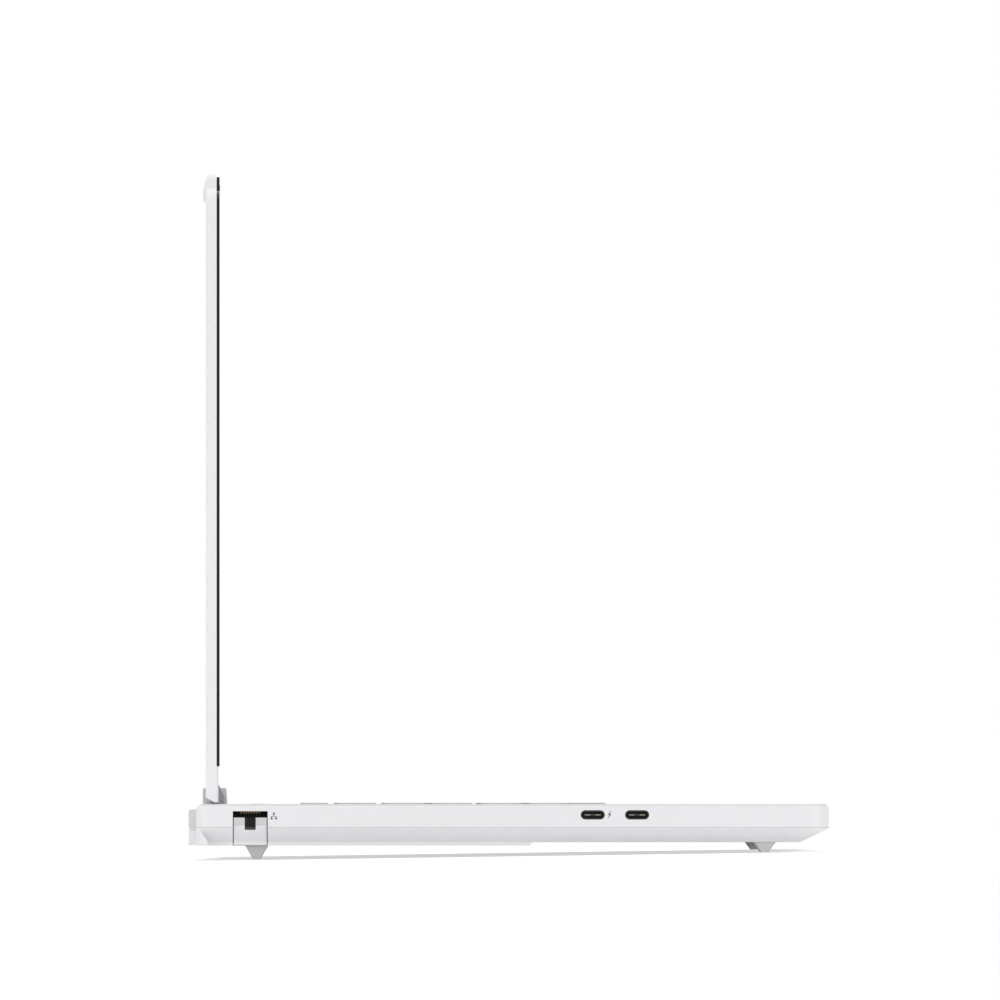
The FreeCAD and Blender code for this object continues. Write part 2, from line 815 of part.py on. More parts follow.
def cut_hinge_openings(case):
    """Openings in the deck for the hinge posts and for the knuckles to turn in."""
    for side in (LEFT, RIGHT):
        under_cover = span(
            side, "hinge_inner + hinge_cover_wall + hinge_opening_inset",
            "hinge_inner + hinge_cover_length - hinge_cover_wall - hinge_opening_inset",
        )
        trough = span(
            side, "hinge_inner + hinge_cover_length + hinge_end_gap / 3",
            "hinge_inner + hinge_cover_length + hinge_end_gap + knuckle_width + trough_play",
        )
        front = "hinge_axis_y - hinge_cover_front + hinge_cover_wall + hinge_opening_inset"
        rear = "hinge_axis_y + hinge_cover_back - hinge_cover_wall - hinge_opening_inset"
        near = "hinge_axis_y - knuckle_radius - trough_play"
        far = "hinge_axis_y + knuckle_radius + trough_play"
        pocket(case, "XY_Plane", "deck_height", [rectangle(under_cover[0], front, under_cover[1], rear)])
        pocket(case, "XY_Plane", "deck_height", [rectangle(trough[0], near, trough[1], far)])


def cut_side_sockets(case):
    """Cut-outs for the sockets: network and two small ones on the left, three on the right."""
    network = rectangle(
        "jack_y - jack_width / 2", "seam_height", "jack_y + jack_width / 2", "jack_top"
    )
    pocket(case, "YZ_Plane", f"-{HALF}", [network], "2 * side_wall", reverse=True)
    for place in ("usb_c_front_y", "usb_c_rear_y"):
        hole = stadium(
            place, "usb_c_z", "(usb_c_width + 2 * usb_c_margin)", "(usb_c_height + 2 * usb_c_margin)"
        )
        pocket(case, "YZ_Plane", f"-{HALF}", [hole], "2 * side_wall", reverse=True)
    for place in ("usb_a_front_y", "usb_a_rear_y"):
        hole = rectangle(
            f"{place} - usb_a_width / 2 - usb_a_margin", "usb_a_z - usb_a_height / 2 - usb_a_margin",
            f"{place} + usb_a_width / 2 + usb_a_margin", "usb_a_z + usb_a_height / 2 + usb_a_margin",
        )
        pocket(case, "YZ_Plane", HALF, [hole], "2 * side_wall")
    hole = circle("audio_y", "usb_a_z", "audio_nose + audio_margin")
    pocket(case, "YZ_Plane", HALF, [hole], "2 * side_wall")


def add_posts(case):
    """Posts under the deck: bosses for the bottom screws, and carriers of the two socket boards."""
    front = [circle(x, y, "boss_radius") for x, y in SCREWS if y == "screw_front_y"]
    rear = [circle(x, y, "boss_radius") for x, y in SCREWS if y == "screw_rear_y"]
    pad(case, "XY_Plane", DECK_UNDER, front, minus(DECK_UNDER, "floor_plate"), reverse=True)
    pad(case, "XY_Plane", DECK_UNDER, rear, minus(DECK_UNDER, BULGE_FLOOR), reverse=True)
    drill = [circle(x, y, "screw_shank + screw_play") for x, y in SCREWS]
    pocket(case, "XY_Plane", "-bulge_drop", drill, "screw_length + floor_plate + bulge_drop", reverse=True)
    left = [
        circle(f"post_inset - {HALF}", place, "post_radius")
        for place in ("usb_c_front_y - usb_c_width / 2", "usb_c_rear_y")
    ]
    right = [circle(f"{HALF} - post_inset", place, "post_radius") for place in ("audio_y", "usb_a_rear_y")]
    pad(case, "XY_Plane", DECK_UNDER, left, minus(DECK_UNDER, USB_C_BOARD), reverse=True)
    pad(case, "XY_Plane", DECK_UNDER, right, minus(DECK_UNDER, USB_A_BOARD), reverse=True)


# Bottom cover: a dish with bevelled front and sides, a deeper rear bulge and its air slots
def make_bottom_cover():
    cover = new_body("bottom_cover")
    footprint = rectangle(f"-{HALF}", "0", HALF, "base_depth")
    pad(cover, "XY_Plane", "-bulge_drop", [footprint], "seam_height + bulge_drop")
    middle = value("base_depth / 2")
    soften(cover, "Fillet", "front_corner", lambda box: runs_along(box, "Z") and box.YMax < middle)
    soften(cover, "Fillet", "rear_corner", lambda box: runs_along(box, "Z") and box.YMin > middle)
    below = polygon(
        ("-front_bevel_run", "seam_height - lip_height"), ("0", "seam_height - lip_height"),
        ("front_bevel_run", "0"), ("bulge_front", "0"), ("bulge_front + bulge_slope", "-bulge_drop"),
        ("bulge_front + bulge_slope", "-2 * bulge_drop"), ("-front_bevel_run", "-2 * bulge_drop"),
    )
    pocket(cover, "YZ_Plane", "0", [below], "2 * base_width", symmetric=True)
    bevel_sides(cover)
    lip = rectangle(
        "-rear_trim_width / 2", "-rear_trim_foot", "rear_trim_width / 2", f"{TRIM_JOINT} - rear_trim_split"
    )
    pad(cover, "XZ_Plane", "-base_depth", [lip], "rear_trim_depth", reverse=True)
    loft_cut(
        cover, "floor_plate",
        hollow_outline(f"{HALF} - side_bevel_run - floor_plate", "front_bevel_run + side_wall"),
        "seam_height",
        hollow_outline(f"{HALF} - side_wall", "side_wall"),
    )
    deep = rectangle(
        f"side_bevel_run + floor_plate - {HALF}", "bulge_front + bulge_slope + side_wall",
        f"{HALF} - side_bevel_run - floor_plate", "base_depth - side_wall",
    )
    pocket(cover, "XY_Plane", "floor_plate", [deep], "bulge_drop")
    cut_bottom_openings(cover)


def bevel_sides(cover):
    """Bevel the two long sides, leaving an upright block at each rear corner."""
    for side in (LEFT, RIGHT):
        top = span(side, HALF, f"{HALF} + side_wall")
        foot = span(side, f"{HALF} - side_bevel_run", f"{HALF} + side_wall")
        high = rectangle(top[0], "-side_wall", top[1], "base_depth - corner_block_top")
        low = rectangle(foot[0], "-side_wall", foot[1], "base_depth - corner_block_foot")
        loft_cut(cover, "0", low, "seam_height - lip_height", high)
        pocket(cover, "XY_Plane", "0", [low], "2 * bulge_drop")


def cut_bottom_openings(cover):
    """Air slots under the fans and speakers, the jaw's gap, screw holes and the exhaust."""
    jaw_gap = rectangle(
        f"-{HALF} - side_wall", "jack_y - jack_width / 2", f"jaw_pivot_x + 2 * jaw_boss - {HALF}",
        "jack_y + jack_width / 2",
    )
    pocket(cover, "XY_Plane", "seam_height", [jaw_gap])
    for side in (LEFT, RIGHT):
        ends = span(side, "fan_x - intake_length / 2", "fan_x + intake_length / 2")
        slot = rectangle(ends[0], "intake_front", ends[1], "intake_front + intake_slot")
        intake = pocket(cover, "XY_Plane", "floor_plate", [slot])
        repeat(cover, intake, "Y_Axis", "intake_pitch * (intake_count - 1)", "intake_count")
        middle = "speaker_inner + speaker_width / 2"
        ends = span(side, f"{middle} - speaker_slot_length / 2", f"{middle} + speaker_slot_length / 2")
        front = "front_foot_y + front_foot_width / 2 + speaker_slot_pitch"
        slot = rectangle(ends[0], front, ends[1], f"{front} + speaker_slot")
        sound = pocket(cover, "XY_Plane", "floor_plate", [slot])
        repeat(cover, sound, "Y_Axis", "speaker_slot_pitch * (speaker_slot_count - 1)", "speaker_slot_count")
    holes = [circle(x, y, "screw_shank + screw_play") for x, y in SCREWS]
    pocket(cover, "XY_Plane", "floor_plate", holes)
    front = [circle(x, y, "screw_head + screw_play") for x, y in SCREWS if y == "screw_front_y"]
    rear = [circle(x, y, "screw_head + screw_play") for x, y in SCREWS if y == "screw_rear_y"]
    pocket(cover, "XY_Plane", "0", front, "screw_head_height", reverse=True)
    pocket(cover, "XY_Plane", "-bulge_drop", rear, "screw_head_height", reverse=True)
    exhaust_slots(
        cover, "-base_depth - rear_trim_depth", "exhaust_bottom",
        f"{TRIM_JOINT} - rear_trim_split - exhaust_border",
        "rear_trim_depth + side_wall + exhaust_border", True,
    )


# Rear grille: the upper half of the exhaust trim
def make_rear_grille():
    grille = new_body("rear_grille")
    face = rectangle(
        "-rear_trim_width / 2", f"{TRIM_JOINT} + rear_trim_split", "rear_trim_width / 2", "rear_trim_top"
    )
    pad(grille, "XZ_Plane", "-base_depth", [face], "rear_trim_depth", reverse=True)
    back = value("base_depth + rear_trim_depth")
    soften(grille, "Fillet", "rear_trim_round", lambda box: box.YMin > back - CLOSE and runs_along(box, "X"))
    exhaust_slots(
        grille, "-base_depth - rear_trim_depth", "seam_height + exhaust_border", "exhaust_top",
        "2 * rear_trim_depth", True,
    )


# Keyboard: web frame, carrier plate, dome sheet and the key caps
def make_keyboard():
    outer = keyboard_outline("window_margin - window_clearance")
    inner = keyboard_outline("window_margin - window_clearance - frame_skirt")
    web_under = "deck_height - web_drop - web_thickness"
    web = plain_body("keyboard_web")
    pad(web, "XY_Plane", "deck_height - web_drop", [outer], "web_thickness", reverse=True)
    pad(web, "XY_Plane", web_under, [outer, inner], minus(web_under, PLATE_TOP, "dome_sheet"), reverse=True)
    sheet = plain_body("dome_sheet_film")
    pad(sheet, "XY_Plane", PLATE_TOP, [outer], "dome_sheet")
    plate = new_body("keyboard_plate")
    outline = keyboard_outline("window_margin + plate_flange")
    pad(plate, "XY_Plane", PLATE_TOP, [outline], "plate_thickness", reverse=True)
    openings, domes = [], []
    dome_height = minus("deck_height + key_rise - key_height - dome_clearance", PLATE_TOP)
    for name, keys in KEYS.items():
        caps = []
        for across, along in keys:
            caps.append(key_cap(f"{name}_cap", across, along))
            openings.append(key_opening(across, along))
            start = (*key_centre(across, along), PLATE_TOP)
            domes.append(rod("dome", start, "dome_radius", dome_height))
        subpart(name, caps)
    subpart("keyboard_frame", [cut("keyboard_web_cut", web, openings)])
    subpart("dome_sheet", [joined("dome_sheet_whole", [sheet, *domes])])


def key_opening(across, along):
    """The opening of one key in the web."""
    return block(
        "key_opening", (f"{across[0]} - key_clearance", f"{across[1]} + key_clearance"),
        (f"{along[0]} - key_clearance", f"{along[1]} + key_clearance"), (PLATE_TOP, "deck_height + key_rise"),
    )


def key_centre(across, along):
    """The middle of a key."""
    return f"({across[0]} + {across[1]}) / 2", f"({along[0]} + {along[1]}) / 2"


def key_cap(name, across, along):
    """One key cap with round corners."""
    top = "deck_height + key_rise"
    cap = block(name, across, along, (f"{top} - key_height", top))
    return rounded(f"{name}_round", cap, "key_corner", UPRIGHT_EDGES)


# Touchpad with its tray, and the power button
def make_touchpad():
    across = ("touchpad_centre - touchpad_width / 2", "touchpad_centre + touchpad_width / 2")
    along = ("touchpad_front", "touchpad_front + touchpad_depth")
    surface = block("touchpad_plate", across, along, ("deck_height - touchpad_thickness", "deck_height"))
    subpart("touchpad", [rounded("touchpad_round", surface, "touchpad_corner", UPRIGHT_EDGES)])
    reach = "tray_play + tray_wall"
    outer = block(
        "tray_outer", (f"{across[0]} - ({reach})", f"{across[1]} + {reach}"),
        (f"{along[0]} - ({reach})", f"{along[1]} + {reach}"), (f"{DECK_UNDER} - tray_depth", DECK_UNDER),
    )
    hollow = block(
        "tray_hollow", (f"{across[0]} - tray_play", f"{across[1]} + tray_play"),
        (f"{along[0]} - tray_play", f"{along[1]} + tray_play"),
        (f"{DECK_UNDER} - tray_depth + tray_floor", "deck_height"),
    )
    rib = block(
        "tray_rib_block", across, (f"{along[1]} - tray_rib", along[1]),
        (f"{DECK_UNDER} - tray_depth", "deck_height - touchpad_thickness - touchpad_rest"),
    )
    tray = cut("tray_shell", outer, [hollow])
    subpart("touchpad_bracket", [joined("tray_with_rib", [tray, rib])])


def make_power_button():
    button = new_body("power_button")
    cap = stadium("0", "button_y", "button_width", "button_depth")
    flange = stadium(
        "0", "button_y", "(button_width + 2 * button_flange)", "(button_depth + 2 * button_flange)"
    )
    top_of_flange = f"{DECK_UNDER} - button_rest"
    pad(button, "XY_Plane", top_of_flange, [flange], "button_flange_height", reverse=True)
    pad(button, "XY_Plane", top_of_flange, [cap], minus("deck_height + button_rise", top_of_flange))


# Hinges: a bracket and cover on the base, and an arm with the shaft in the lid
COVER_END = "hinge_inner + hinge_cover_length"
KNUCKLE_START = f"{COVER_END} + hinge_end_gap"
KNUCKLE_END = f"{KNUCKLE_START} + knuckle_width"
LID_FRONT = "(glass_thickness - glass_front_offset)"
LID_BACK = "(lid_thickness - glass_front_offset)"

# Two points on the knuckle's circle where the arm's web leaves it
LONG_REACH = "(knuckle_radius * 4 / 5)"
SHORT_REACH = "(knuckle_radius * 3 / 5)"


def hinge_point(along, up):
    """A point in side view, measured from the hinge axis."""
    return f"hinge_axis_y + {along}", f"{AXIS_Z} + {up}"


def prism_across(body, side, near, far, loop, cutting=False):
    """Pad or pocket a side view between two distances from the middle, on one side."""
    start, end = span(side, near, far)
    action = pocket if cutting else pad
    return action(body, "YZ_Plane", start, [loop], minus(end, start), reverse=cutting)


def make_hinge(name, side):
    bracket = new_body(f"{name}_hinge_bracket")
    inset_start, inset_end = "hinge_inner + barrel_inset", f"{COVER_END} - barrel_inset"
    plate = rectangle(
        "hinge_axis_y - bracket_reach", f"{DECK_UNDER} - bracket_plate",
        "hinge_axis_y + barrel_radius", DECK_UNDER,
    )
    prism_across(bracket, side, inset_start, inset_end, plate)
    post = rectangle("hinge_axis_y - barrel_radius", DECK_UNDER, "hinge_axis_y + barrel_radius", AXIS_Z)
    prism_across(bracket, side, inset_start, inset_end, post)
    barrel = circle("hinge_axis_y", AXIS_Z, "barrel_radius")
    prism_across(bracket, side, inset_start, inset_end, barrel)
    bore = circle("hinge_axis_y", AXIS_Z, "shaft_radius + shaft_play")
    prism_across(bracket, side, inset_start, inset_end, bore, cutting=True)

    cover = new_body(f"{name}_hinge_cover")
    profile = polygon(
        ("hinge_axis_y - hinge_cover_front", "deck_height"),
        ("hinge_axis_y + hinge_cover_back", "deck_height"),
        hinge_point("hinge_cover_back", "hinge_cover_top"),
        hinge_point("hinge_cover_slope - hinge_cover_front", "hinge_cover_top"),
    )
    prism_across(cover, side, "hinge_inner", COVER_END, profile)
    top = value(f"{AXIS_Z} + hinge_cover_top")
    soften(cover, "Fillet", "hinge_cover_round", lambda box: box.ZMin > top - CLOSE)
    hollow = rectangle(
        "hinge_axis_y - hinge_cover_front + hinge_cover_slope + hinge_cover_wall", "deck_height",
        "hinge_axis_y + hinge_cover_back - hinge_cover_wall",
        f"{AXIS_Z} + hinge_cover_top - hinge_cover_wall",
    )
    prism_across(
        cover, side, "hinge_inner + hinge_cover_wall", f"{COVER_END} - hinge_cover_wall", hollow, cutting=True
    )
    hole = circle("hinge_axis_y", AXIS_Z, "shaft_radius + shaft_hole_play")
    prism_across(cover, side, f"{COVER_END} - 2 * hinge_cover_wall", COVER_END, hole, cutting=True)

    arm = new_body(f"{name}_hinge_arm")
    knuckle = circle("hinge_axis_y", AXIS_Z, "knuckle_radius")
    prism_across(arm, side, KNUCKLE_START, KNUCKLE_END, knuckle)
    seat = f"{LID_BACK} - lid_wall"
    web = polygon(
        hinge_point(f"0 - {LONG_REACH}", SHORT_REACH), hinge_point(LID_FRONT, "notch_top"),
        hinge_point(LID_FRONT, "arm_start"), hinge_point(seat, "arm_start"),
        hinge_point(seat, "knuckle_radius"), hinge_point(SHORT_REACH, f"0 - {LONG_REACH}"),
    )
    prism_across(arm, side, KNUCKLE_START, KNUCKLE_END, web)
    strap_front = f"{seat} - arm_thickness"
    strap = polygon(
        hinge_point(strap_front, "arm_start"), hinge_point(seat, "arm_start"),
        hinge_point(seat, "arm_top"), hinge_point(strap_front, "arm_top"),
    )
    prism_across(arm, side, "hinge_inner", KNUCKLE_END, strap)
    shaft = circle("hinge_axis_y", AXIS_Z, "shaft_radius")
    prism_across(arm, side, inset_start, KNUCKLE_START, shaft)


# Lid: back cover, chin, glass, display panel and camera
LID_TOP = "(hinge_axis_y - lid_front_inset)"
SWING_RADIUS = "(hinge_axis_rise - lid_swing_gap)"


def lid_notches(body):
    """Gaps in the lid's lower edge where the hinges stand."""
    for side in (LEFT, RIGHT):
        start, end = span(side, "hinge_inner - hinge_end_gap", f"{KNUCKLE_END} + hinge_end_gap")
        gap = rectangle(start, f"{AXIS_Z} - 2 * chin_bottom", end, f"{AXIS_Z} + notch_top")
        pocket(body, "XZ_Plane", "-hinge_axis_y", [gap], "4 * lid_thickness", symmetric=True)


def make_lid_cover():
    cover = new_body("lid_cover")
    bevel_foot = f"({SWING_RADIUS} - chin_bottom * cos(open_angle)) / sin(open_angle)"
    bevel_top = f"(({LID_BACK}) * sin(open_angle) - {SWING_RADIUS}) / cos(open_angle)"
    profile = polygon(
        hinge_point(LID_FRONT, "0 - chin_bottom"), hinge_point(bevel_foot, "0 - chin_bottom"),
        hinge_point(LID_BACK, bevel_top), hinge_point(LID_BACK, LID_TOP), hinge_point(LID_FRONT, LID_TOP),
    )
    pad(cover, "YZ_Plane", "0", [profile], "base_width", symmetric=True)
    middle = value(f"{AXIS_Z} + {LID_TOP} / 2")
    soften(cover, "Fillet", "lid_corner", lambda box: runs_along(box, "Y") and box.ZMin > middle)
    back = value(f"hinge_axis_y + {LID_BACK}")
    low = value(f"{AXIS_Z} + {bevel_top}")
    soften(cover, "Fillet", "lid_edge_round", lambda box: box.YMin > back - CLOSE and box.ZMax > low + CLOSE)
    add_camera_bar(cover)
    inner = f"{HALF} - lid_rim"
    depth = f"{LID_BACK} - lid_wall - ({LID_FRONT})"
    hollow = rectangle(f"-({inner})", f"{AXIS_Z} + lid_rim", inner, f"{AXIS_Z} + {LID_TOP} - lid_rim")
    front_plane = f"-(hinge_axis_y + {LID_FRONT})"
    pocket(cover, "XZ_Plane", front_plane, [hollow], depth)
    camera_space = rectangle(
        "-camera_width / 2 - lid_rim / 2", f"{AXIS_Z} + {LID_TOP} - 2 * lid_rim",
        "camera_width / 2 + lid_rim / 2", f"{AXIS_Z} + {LID_TOP} + bar_rise - 3 * lid_wall / 2",
    )
    pocket(cover, "XZ_Plane", front_plane, [camera_space], depth)
    lid_notches(cover)


def add_camera_bar(cover):
    """The bar above the lid's top edge that houses the camera, swelling a little at the back."""
    bar = polygon(
        hinge_point(LID_FRONT, f"{LID_TOP} - bar_drop / 2"), hinge_point(LID_FRONT, f"{LID_TOP} + bar_rise"),
        hinge_point(f"{LID_BACK} - bar_slope", f"{LID_TOP} + bar_rise"),
        hinge_point(LID_BACK, f"{LID_TOP} + bar_rise - 2 * bar_slope"),
        hinge_point(f"{LID_BACK} + bar_bulge", f"{LID_TOP} + bar_slope"),
        hinge_point(f"{LID_BACK} + bar_bulge", f"{LID_TOP} - bar_drop + bar_bulge"),
        hinge_point(f"{LID_BACK} - bar_bulge", f"{LID_TOP} - bar_drop - bar_bulge"),
    )
    pad(cover, "YZ_Plane", "0", [bar], "bar_width", symmetric=True)
    top = value(f"{AXIS_Z} + {LID_TOP} + bar_rise")
    ends = value("bar_width / 2")
    soften(
        cover, "Fillet", "bar_end_round",
        lambda box: runs_along(box, "Y") and box.ZMin > top - CLOSE and abs(abs(box.XMin) - ends) < CLOSE,
    )


def make_lid_front():
    chin = new_body("chin_strip")
    strip = rectangle(
        f"chin_inset - {HALF}", f"{AXIS_Z} - chin_bottom", f"{HALF} - chin_inset", f"{AXIS_Z} + chin_top"
    )
    front_plane = f"-(hinge_axis_y + {LID_FRONT})"
    pad(chin, "XZ_Plane", front_plane, [strip], f"{LID_FRONT} + chin_front")
    lid_notches(chin)

    glass = new_body("front_glass")
    side = f"{HALF} - glass_inset"
    top = f"{AXIS_Z} + {LID_TOP} - glass_inset"
    tab = "bar_width / 2 - bar_end_round"
    pane = polygon(
        (f"-({side})", f"{AXIS_Z} + chin_top"), (side, f"{AXIS_Z} + chin_top"), (side, top), (tab, top),
        (f"{tab} - bar_rise / 2", f"{top} + bar_rise"), (f"bar_rise / 2 - ({tab})", f"{top} + bar_rise"),
        (f"-({tab})", top), (f"-({side})", top),
    )
    pad(glass, "XZ_Plane", front_plane, [pane], "glass_thickness")
    edge = value(side)
    ceiling = value(top)
    soften(
        glass, "Fillet", "lid_corner - glass_inset",
        lambda box: runs_along(box, "Y") and abs(box.XMin) > edge - CLOSE and box.ZMin > ceiling - CLOSE,
    )

    back = f"hinge_axis_y + {LID_FRONT}"
    inner = f"{HALF} - lid_rim - panel_border"
    panel = block(
        "panel_sheet", (f"-({inner})", inner), (back, f"{back} + panel_thickness"),
        (f"{AXIS_Z} + chin_top + panel_border", f"{AXIS_Z} + {LID_TOP} - 2 * lid_rim - panel_border"),
    )
    subpart("display_panel", [panel])

    middle = f"{AXIS_Z} + {LID_TOP} + bar_rise - 2 * lid_wall - camera_height / 2"
    carrier = block(
        "camera_board", ("-camera_width / 2", "camera_width / 2"),
        (f"{back} + camera_depth / 2", f"{back} + camera_depth"),
        (f"{middle} - camera_height / 2", f"{middle} + camera_height / 2"),
    )
    lens = rod("camera_lens", ("0", back, middle), "camera_lens_radius", "camera_depth", "Y")
    subpart("camera_module", [joined("camera_body", [carrier, lens])])


# Feet: rubber blocks in pairs, each with a narrow sole cut level with the table
FLOOR_SLOPE = "(rear_foot_drop - front_foot_drop) / (rear_foot_y - front_foot_y)"


def table_level(along):
    """The height of the table top under a point, in the deck's frame."""
    return f"-(front_foot_drop + {FLOOR_SLOPE} * ({along} - front_foot_y))"


def make_feet(row, seat):
    feet = new_body(f"{row}_feet")
    middle, half = f"{row}_foot_y", f"{row}_foot_width / 2"
    near, far = f"{middle} - foot_sole / 2", f"{middle} + foot_sole / 2"
    profile = polygon(
        (f"{middle} - {half}", seat), (near, table_level(near)), (far, table_level(far)),
        (f"{middle} + {half}", seat),
    )
    for side in (LEFT, RIGHT):
        prism_across(feet, side, f"{row}_foot_end - {row}_foot_length", f"{row}_foot_end", profile)
    end = value(f"{row}_foot_end")
    soften(
        feet, "Chamfer", "foot_end_round",
        lambda box: abs(abs(box.XMin) - end) < CLOSE and box.XLength < CLOSE and box.ZLength > box.YLength,
    )


# Network socket: housing, spring contacts, drop jaw and its pin
def make_network_socket():
    low, high = "jack_y - jack_width / 2", "jack_y + jack_width / 2"
    mouth = f"side_wall + jack_setback - {HALF}"
    back = f"jack_depth - {HALF} + side_wall"
    pivot = f"jaw_pivot_x - {HALF}"
    jack = new_body("network_socket")
    cheek = polygon(
        (mouth, "seam_height"), (f"side_bevel_run + 2 * floor_plate - {HALF}", "floor_plate"),
        (back, "floor_plate"),
        (back, "jack_top + jack_wall"), (mouth, "jack_top + jack_wall"),
    )
    outer_width = "jack_width + 2 * jack_wall"
    plane = f"-({high} + jack_wall)"
    pad(jack, "XZ_Plane", plane, [cheek], outer_width)
    bay = rectangle(f"{mouth} - side_wall", "-bulge_drop", f"{back} - jack_wall", "jack_top")
    pocket(jack, "XZ_Plane", f"-({high})", [bay], "jack_width", reverse=True)
    foot = rectangle(back, f"{BOARD_UNDER} - 3 * jack_wall", f"{back} + jack_base_depth", BOARD_UNDER)
    pad(jack, "XZ_Plane", plane, [foot], outer_width)
    axle = circle(pivot, "jaw_pivot_z", "jaw_pin_radius + jaw_pin_play / 2")
    pocket(jack, "XZ_Plane", f"-({high} + 2 * jack_wall)", [axle], "2 * jack_width", reverse=True)

    jaw = new_body("network_jaw")
    face = f"jaw_inset - {HALF}"
    foot_x = f"side_bevel_run - {HALF}"
    shape = polygon(
        (face, "jaw_top"), (face, "jaw_knee"), (foot_x, "jaw_foot"), (foot_x, "-jaw_drop"),
        (pivot, "-jaw_drop"), (pivot, "jaw_pivot_z"), (f"{foot_x} + jaw_foot_wall", "jaw_pivot_z"),
        (f"{face} + jaw_plate", "jaw_knee + jaw_knee_wall"),
        (f"{face} + jaw_plate", "jaw_top"),
    )
    jaw_plane = f"-({high} - jaw_gap)"
    jaw_width = "jack_width - 2 * jaw_gap"
    pad(jaw, "XZ_Plane", jaw_plane, [shape], jaw_width)
    pad(jaw, "XZ_Plane", jaw_plane, [circle(pivot, "jaw_pivot_z", "jaw_boss")], jaw_width)
    bore = circle(pivot, "jaw_pivot_z", "jaw_pin_radius + jaw_pin_play")
    pocket(jaw, "XZ_Plane", f"-({high})", [bore], "jack_width", reverse=True)
    notch = rectangle(
        "jack_y - jaw_notch_width / 2", "jaw_top - jaw_notch_depth",
        "jack_y + jaw_notch_width / 2", "jaw_top + jaw_plate",
    )
    pocket(jaw, "YZ_Plane", f"-{HALF} - side_wall", [notch], "jack_depth / 2", reverse=True)

    pin = rod(
        "jaw_pin_rod", (pivot, f"{low} - jack_wall", "jaw_pivot_z"), "jaw_pin_radius", outer_width, "Y"
    )
    subpart("jaw_pin", [pin])

    contacts = new_body("network_contacts")
    tip = f"{mouth} + jack_wall"
    rest = "jack_top - contact_thickness"
    strip = polygon(
        (tip, "jack_top"), (tip, rest), (f"{tip} + jack_wall", rest),
        (f"{tip} + contact_reach", f"{rest} - contact_drop"),
        (f"{tip} + contact_reach", "jack_top - contact_drop"),
        (f"{tip} + jack_wall", "jack_top"),
    )
    row = "(contact_pitch * (contact_count - 1))"
    first = f"-(jack_y - {row} / 2 + contact_width / 2)"
    wire = pad(contacts, "XZ_Plane", first, [strip], "contact_width")
    repeat(contacts, wire, "Y_Axis", row, "contact_count")


# Small reversible sockets on the left
def make_small_sockets():
    shells = new_body("small_socket_shells")
    tongues = new_body("small_socket_tongues")
    mouth = f"usb_c_recess - {HALF}"
    back = f"{mouth} + usb_c_length"
    inner_width = "(usb_c_width - 2 * usb_c_wall)"
    inner_height = "(usb_c_height - 2 * usb_c_wall)"
    places = ("usb_c_front_y", "usb_c_rear_y")
    outer = [stadium(place, "usb_c_z", "usb_c_width", "usb_c_height") for place in places]
    pad(shells, "YZ_Plane", mouth, outer, "usb_c_length")
    inner = [stadium(place, "usb_c_z", inner_width, inner_height) for place in places]
    pocket(shells, "YZ_Plane", mouth, inner, "usb_c_length - usb_c_wall", reverse=True)
    plug = [stadium(place, "usb_c_z", inner_width, inner_height) for place in places]
    root = f"{back} - usb_c_wall"
    plug_length = "usb_c_length - usb_c_tongue_length - 2 * usb_c_wall"
    pad(tongues, "YZ_Plane", root, plug, plug_length, reverse=True)
    blade = [
        rectangle(
            f"{place} - usb_c_tongue_width / 2", "usb_c_z - usb_c_tongue / 2",
            f"{place} + usb_c_tongue_width / 2", "usb_c_z + usb_c_tongue / 2",
        )
        for place in places
    ]
    pad(tongues, "YZ_Plane", root, blade, "usb_c_length - 2 * usb_c_wall", reverse=True)
    board = block(
        "left_board_sheet", (f"side_wall + usb_c_wall - {HALF}", f"socket_board_depth - {HALF}"),
        ("usb_c_front_y - usb_c_width", "usb_c_rear_y + usb_c_width / 3"),
        (f"{USB_C_BOARD} - socket_board", USB_C_BOARD),
    )
    subpart("left_socket_board", [board])


